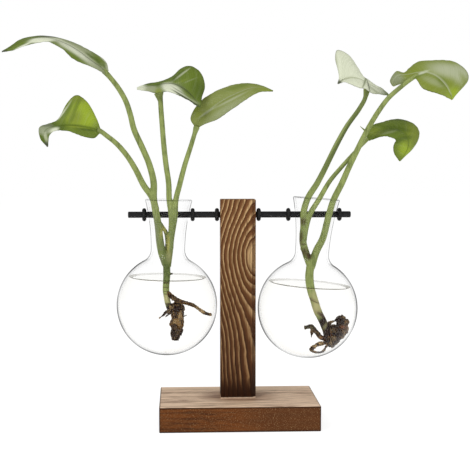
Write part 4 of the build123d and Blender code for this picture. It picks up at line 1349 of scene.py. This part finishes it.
def make_post_finish():
    """Burnt and brushed wood: tan ridges that nest about a knot at the post's right edge.

    A ridge stands at each whole step of sqrt(x^2 + h^2) / pitch + x far / spacing, where x is
    the distance from the right edge, h = z / sqrt(1 + (z / reach)^2) / stretch for a height
    z over the knot, and far = z^2 / (z^2 + reach^2). So ovals near the knot give way to
    upright lines far from it.
    """
    finish = Finish("burnt_post")
    knot_height, reach, stretch = 0.712, 0.045, 1.75
    pitch, spacing, bevel_width = 0.0034, 0.009, 0.0032
    low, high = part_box("post")
    place = finish.object_place()
    x, y, z = finish.axes(place)
    drift = finish.noise(finish.stretched(place, (1, 1, 0.5)), 55.0, 4.0)
    aside = high.x - x + (y - low.y) * 0.4
    over = z - (low.z + (high.z - low.z) * knot_height)
    far = over * over / (over * over + reach**2)
    bent = over / (over * over / reach**2 + 1.0) ** 0.5 / stretch
    oval = (aside * aside + bent * bent) ** 0.5 / pitch
    rings = oval + aside * far / spacing + drift * 1.5 - 1.2
    saw = rings.maths("FRACT")
    ridge = finish.ramp(saw, (0.0, 0.0), (0.07, 1.0), (0.17, 0.85), (0.46, 0.0))
    hollow = finish.ramp(saw, (0.30, 0.0), (0.95, 1.0))
    heart = finish.ramp(rings - 1.1, (0.1, 1.0), (0.8, 0.0))
    fibre = finish.noise(finish.stretched(place, (1, 1, 0.05)), 1600.0, 4.0, 0.65)
    up = within(z, low.z, high.z)
    # Darker towards the bottom of the post.
    darker_low = finish.ramp(up + drift * 0.16, (0.10, 1.0), (0.32, 0.75), (0.66, 0.30), (1.06, 0.0))
    tan = finish.mixed(0.14, "base_red", "wood_light")
    open_wood = finish.mixed(darker_low, tan, "wood_mid")
    deep_wood = finish.mixed(darker_low, "wood_mid", "wood_burnt")
    ground = finish.mixed(hollow, open_wood, deep_wood)
    ground = finish.mixed(heart * 0.75, ground, "wood_light")
    light = finish.mixed(darker_low * 0.65, "wood_light", "base_red")
    # Over the lowest part the ridges fade out and the wood turns darkest.
    fade = finish.ramp(up + drift * 0.03 + fibre * 0.03, (0.070, 0.0), (0.135, 1.0))
    share = ridge * fade * finish.ramp(fibre, (0.36, 0.35), (0.56, 1.0))
    cracks = finish.ramp(fibre, (0.38, 0.5), (0.5, 0.0))
    # Painted shade: a darker strip where the real post's right corner is eased, and a darker right
    # face.
    corner = (x - high.x + bevel_width) / bevel_width
    eased_corner_shade = finish.ramp(corner, (0.0, 0.0), (0.06, 0.75), (1.0, 0.5))
    foot = finish.ramp((z - low.z) / 0.0012, (0.6, 0.85), (1.0, 0.0))
    grained = finish.layered(
        ground,
        (share, light),
        (cracks, deep_wood),
        (eased_corner_shade, deep_wood),
        ((1 - fade) * 0.75, "wood_burnt"),
        (foot, "base_pale"),
    )
    bump = finish.bump(ridge + fibre * 0.35, 0.0009)
    return finish.surface(grained, 0.52, bump, 0.1)


def make_base_finish():
    """Burnt and oiled wood with grain along its length: a pale top and red-brown sides."""
    finish = Finish("burnt_base")
    low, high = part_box("base_block")
    place = finish.object_place()
    x, y, z = finish.axes(place)
    grain = finish.noise(finish.stretched(place, (0.06, 1, 1)), 420.0, 5.0, 0.65, 0.4)
    fibre = finish.noise(finish.stretched(place, (0.05, 1, 1)), 2200.0, 3.0)
    patches = finish.noise(finish.stretched(place, (0.4, 1, 1)), 60.0, 3.0)
    pores = finish.noise(finish.stretched(place, (0.5, 1, 1)), 2400.0, 1.0)
    up = within(z, low.z, high.z)
    along = within(x, low.x, high.x)
    back = within(y, low.y, high.y)
    on_top = finish.ramp(up, (0.965, 0.0), (0.985, 1.0))
    shade = finish.ramp(grain * 0.65 + fibre * 0.35, (0.40, 0.0), (0.56, 1.0))
    redder = finish.ramp(along + patches * 0.5, (0.75, 0.0), (1.15, 0.8))
    specks = finish.ramp(pores, (0.62, 0.0), (0.70, 1.0))
    # The sides darken along their bottom and top edges.
    edge = finish.ramp(up, (0.02, 1.0), (0.09, 0.0), (0.90, 0.0), (0.96, 0.9))
    sides = finish.layered(
        "wood_burnt",
        (shade, "base_red"),
        (patches * 0.7, "base_red"),
        (redder, "wood_mid"),
        (specks * 0.5, "wood_light"),
        (edge, "wood_burnt"),
    )
    ends = finish.ramp(along, (0.002, 0.9), (0.010, 0.0), (0.990, 0.0), (0.998, 0.9))
    # Painted shade on the top about the post's foot, in base_red.
    post_low, post_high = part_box("post")
    shade_reach_x, shade_reach_y = 0.034, 0.026
    aside = (x - (post_low.x + post_high.x) / 2) / shade_reach_x
    ahead = (y - (post_low.y + post_high.y) / 2) / shade_reach_y
    around = finish.ramp(aside * aside + ahead * ahead, (0.25, 0.55), (1.0, 0.0))
    # Paler towards the back edge of the top: worn wood with a painted highlight along the far
    # edge.
    pale = finish.ramp(back + grain * 0.2, (0.90, 0.0), (1.02, 0.8))
    top = finish.layered(
        "wood_mid",
        (shade, "base_pale"),
        (patches * 0.5, "base_pale"),
        # painted shade about the post's foot
        (around, "base_red"),
        (pale * (1 - around), "base_pale"),
    )
    base = finish.layered(sides, (on_top, top), (ends, "wood_burnt"))
    return finish.surface(base, 0.5, finish.bump(grain + fibre * 0.4, 0.0004, 0.6), 0.1)


def make_metal_finish(name, shade, roughness, metallic, scale):
    """A plain finish with fine speckle and small wear in its gloss."""
    finish = Finish(name)
    place = finish.object_place()
    speckle = finish.noise(place, scale, 3.0)
    wear = finish.noise(place, scale / 8, 3.0)
    spots = finish.ramp(speckle, (0.55, 0.0), (0.75, 1.0))
    tone = finish.mixed(spots * 0.35, shade, (0.10, 0.10, 0.10, 1.0))
    rough = roughness + wear * 0.2
    bump = finish.bump(speckle, 0.0001, 0.4)
    return finish.surface(tone, rough, bump, 0.25, metallic=metallic)


class VASE_OT_stand(Operator):
    """Finish the base block, the post and its screws"""

    bl_idname = "vase.stand"
    bl_label = "Stand"

    def execute(self, context):
        dress("base_block", make_base_finish())
        dress("post", make_post_finish())
        dress("post_screws", make_metal_finish("zinc_screws", "steel", 0.3, 1.0, 3000.0))
        return {"FINISHED"}


class VASE_OT_rod(Operator):
    """Finish the rod and the rubber rings on it"""

    bl_idname = "vase.rod"
    bl_label = "Rod and rings"

    def execute(self, context):
        dress("rod", make_metal_finish("black_rod", "metal", 0.35, 0.0, 2600.0))
        rubber = make_metal_finish("black_rubber", "rubber", 0.55, 0.0, 1800.0)
        for node in frame["nodes"]:
            if node.endswith("_ring"):
                dress(node, rubber)
        return {"FINISHED"}


class VASE_OT_glass(Operator):
    """Make the two blown vases"""

    bl_idname = "vase.glass"
    bl_label = "Glass"

    def execute(self, context):
        material = make_glass_finish()
        for side in ("left", "right"):
            make_glass(Vase(side), material)
        return {"FINISHED"}


class VASE_OT_water(Operator):
    """Fill both vases with water"""

    bl_idname = "vase.water"
    bl_label = "Water"

    def execute(self, context):
        materials = (make_water_finish(), make_meniscus_finish())
        for side in ("left", "right"):
            make_water(Vase(side), *materials)
        return {"FINISHED"}


class VASE_OT_stems(Operator):
    """Make the stems and stalks of both cuttings"""

    bl_idname = "vase.stems"
    bl_label = "Stems"

    def execute(self, context):
        material = make_stem_finish()
        for side, cutting in cuttings.items():
            make_stem(Vase(side), cutting, material)
        return {"FINISHED"}


class VASE_OT_leaves(Operator):
    """Make the blades of both cuttings"""

    bl_idname = "vase.leaves"
    bl_label = "Leaves"

    def execute(self, context):
        material = make_leaf_finish()
        for name, blade in blades.items():
            make_leaf(vase_of(name), name, blade, material)
        return {"FINISHED"}


class VASE_OT_roots(Operator):
    """Make the roots of both cuttings"""

    bl_idname = "vase.roots"
    bl_label = "Roots"

    def execute(self, context):
        bark = make_root_finish("root_bark", 260.0)
        thin = make_root_finish("root_strand", 420.0)
        for name, root in roots.items():
            if root.lump:
                make_lump(vase_of(name), name, root, bark)
            else:
                make_strands(vase_of(name), name, root, thin)
        return {"FINISHED"}


def make_floor_finish():
    """A white table that keeps the object's shadow and meets the white backdrop unseen."""
    finish = Finish("white_table")
    matte = finish.add("BsdfDiffuse", None, {"Color": (0.90, 0.90, 0.90, 1.0)})
    glow = finish.add("Emission", None, {"Color": white, "Strength": 1.3})
    seen = finish.add("LightPath", output="Is Camera Ray")
    mirrored = finish.add("LightPath", output="Is Reflection Ray")
    return finish.end(finish.blended(seen.maths("MAXIMUM", mirrored) * 0.6, matte, glow))


def add_lamp(name, place, aim, size, power):
    """A square soft lamp at a place, turned to its aim."""
    light = bpy.data.lights.new(name, "AREA")
    light.size = size
    light.energy = power
    lamp = placed(name, light)
    lamp.location = place
    direction = np.asarray(aim) - np.asarray(place)
    lamp.rotation_euler = Vector(direction).to_track_quat("-Z", "Y").to_euler()


def add_world():
    """White where it is seen, softer as the light on the pieces, dim where it is mirrored."""
    world = bpy.data.worlds.new("studio")
    bpy.context.scene.world = world
    finish = Finish(world=world)
    camera, glossy, through = (
        finish.add("LightPath", output=f"Is {kind} Ray")
        for kind in ("Camera", "Glossy", "Transmission")
    )
    strength = 0.62 + camera.maths("MAXIMUM", through) * 0.38 - glossy * 0.30
    finish.end(finish.add("Background", None, {0: white, 1: strength}))


class VASE_OT_stage(Operator):
    """Make the table, the soft lamps and the camera"""

    bl_idname = "vase.stage"
    bl_label = "Stage"

    def execute(self, context):
        span = 6.0
        corners = [(-span, -span, 0), (span, -span, 0), (span, span, 0), (-span, span, 0)]
        mesh = bpy.data.meshes.new("table")
        mesh.from_pydata(corners, [], [(0, 1, 2, 3)])
        mesh.materials.append(make_floor_finish())
        table = placed("table", mesh)
        add_world()
        middle = (0, 0, 0.15)
        add_lamp("key", (-0.9, -0.9, 1.3), middle, size=0.9, power=11.5)
        add_lamp("fill", (1.1, -0.8, 0.8), middle, size=1.0, power=5.5)
        view = bpy.data.cameras.new("camera")
        view.lens = 87.15
        view.sensor_width = 36.0
        view.clip_start = 0.01
        looks_down, looks_right = 0.0638, 0.0488
        camera = placed("camera", view)
        camera.location = (-0.0464, -0.9041, 0.2077)
        camera.rotation_euler = (math.pi / 2 - looks_down, 0.0, -looks_right)
        context.scene.camera = camera
        context.scene.view_settings.view_transform = "Standard"
        return {"FINISHED"}


class VASE_PT_panel(Panel):
    """Sizes and colours, and a button for each group of pieces"""

    bl_label = "Propagation vase"
    bl_space_type = "VIEW_3D"
    bl_region_type = "UI"
    bl_category = "Vase"

    def draw(self, context):
        for maker in makers:
            self.layout.operator(maker.bl_idname)
        for group in (glass_sizes(), plant_sizes(), colours()):
            box = self.layout.box()
            for name in group.__annotations__:
                box.prop(group, name)


groups = {
    "vase_glass": VaseGlassSizes,
    "vase_plants": VasePlantSizes,
    "vase_colours": VaseColours,
}
makers = (
    VASE_OT_stand,
    VASE_OT_rod,
    VASE_OT_glass,
    VASE_OT_water,
    VASE_OT_stems,
    VASE_OT_leaves,
    VASE_OT_roots,
    VASE_OT_stage,
)


def register():
    """Adds the classes, and the property groups to the scene."""
    for kind in (*groups.values(), *makers, VASE_PT_panel):
        bpy.utils.register_class(kind)
    for name, kind in groups.items():
        setattr(bpy.types.Scene, name, PointerProperty(type=kind))


def unregister():
    """Takes the property groups and the classes away again."""
    for name in groups:
        delattr(bpy.types.Scene, name)
    for kind in (VASE_PT_panel, *reversed(makers), *groups.values()):
        bpy.utils.unregister_class(kind)


def main():
    """Makes every piece in order."""
    register()
    for maker in makers:
        group, name = maker.bl_idname.split(".")
        getattr(getattr(bpy.ops, group), name)()


if __name__ == "__main__":
    main()
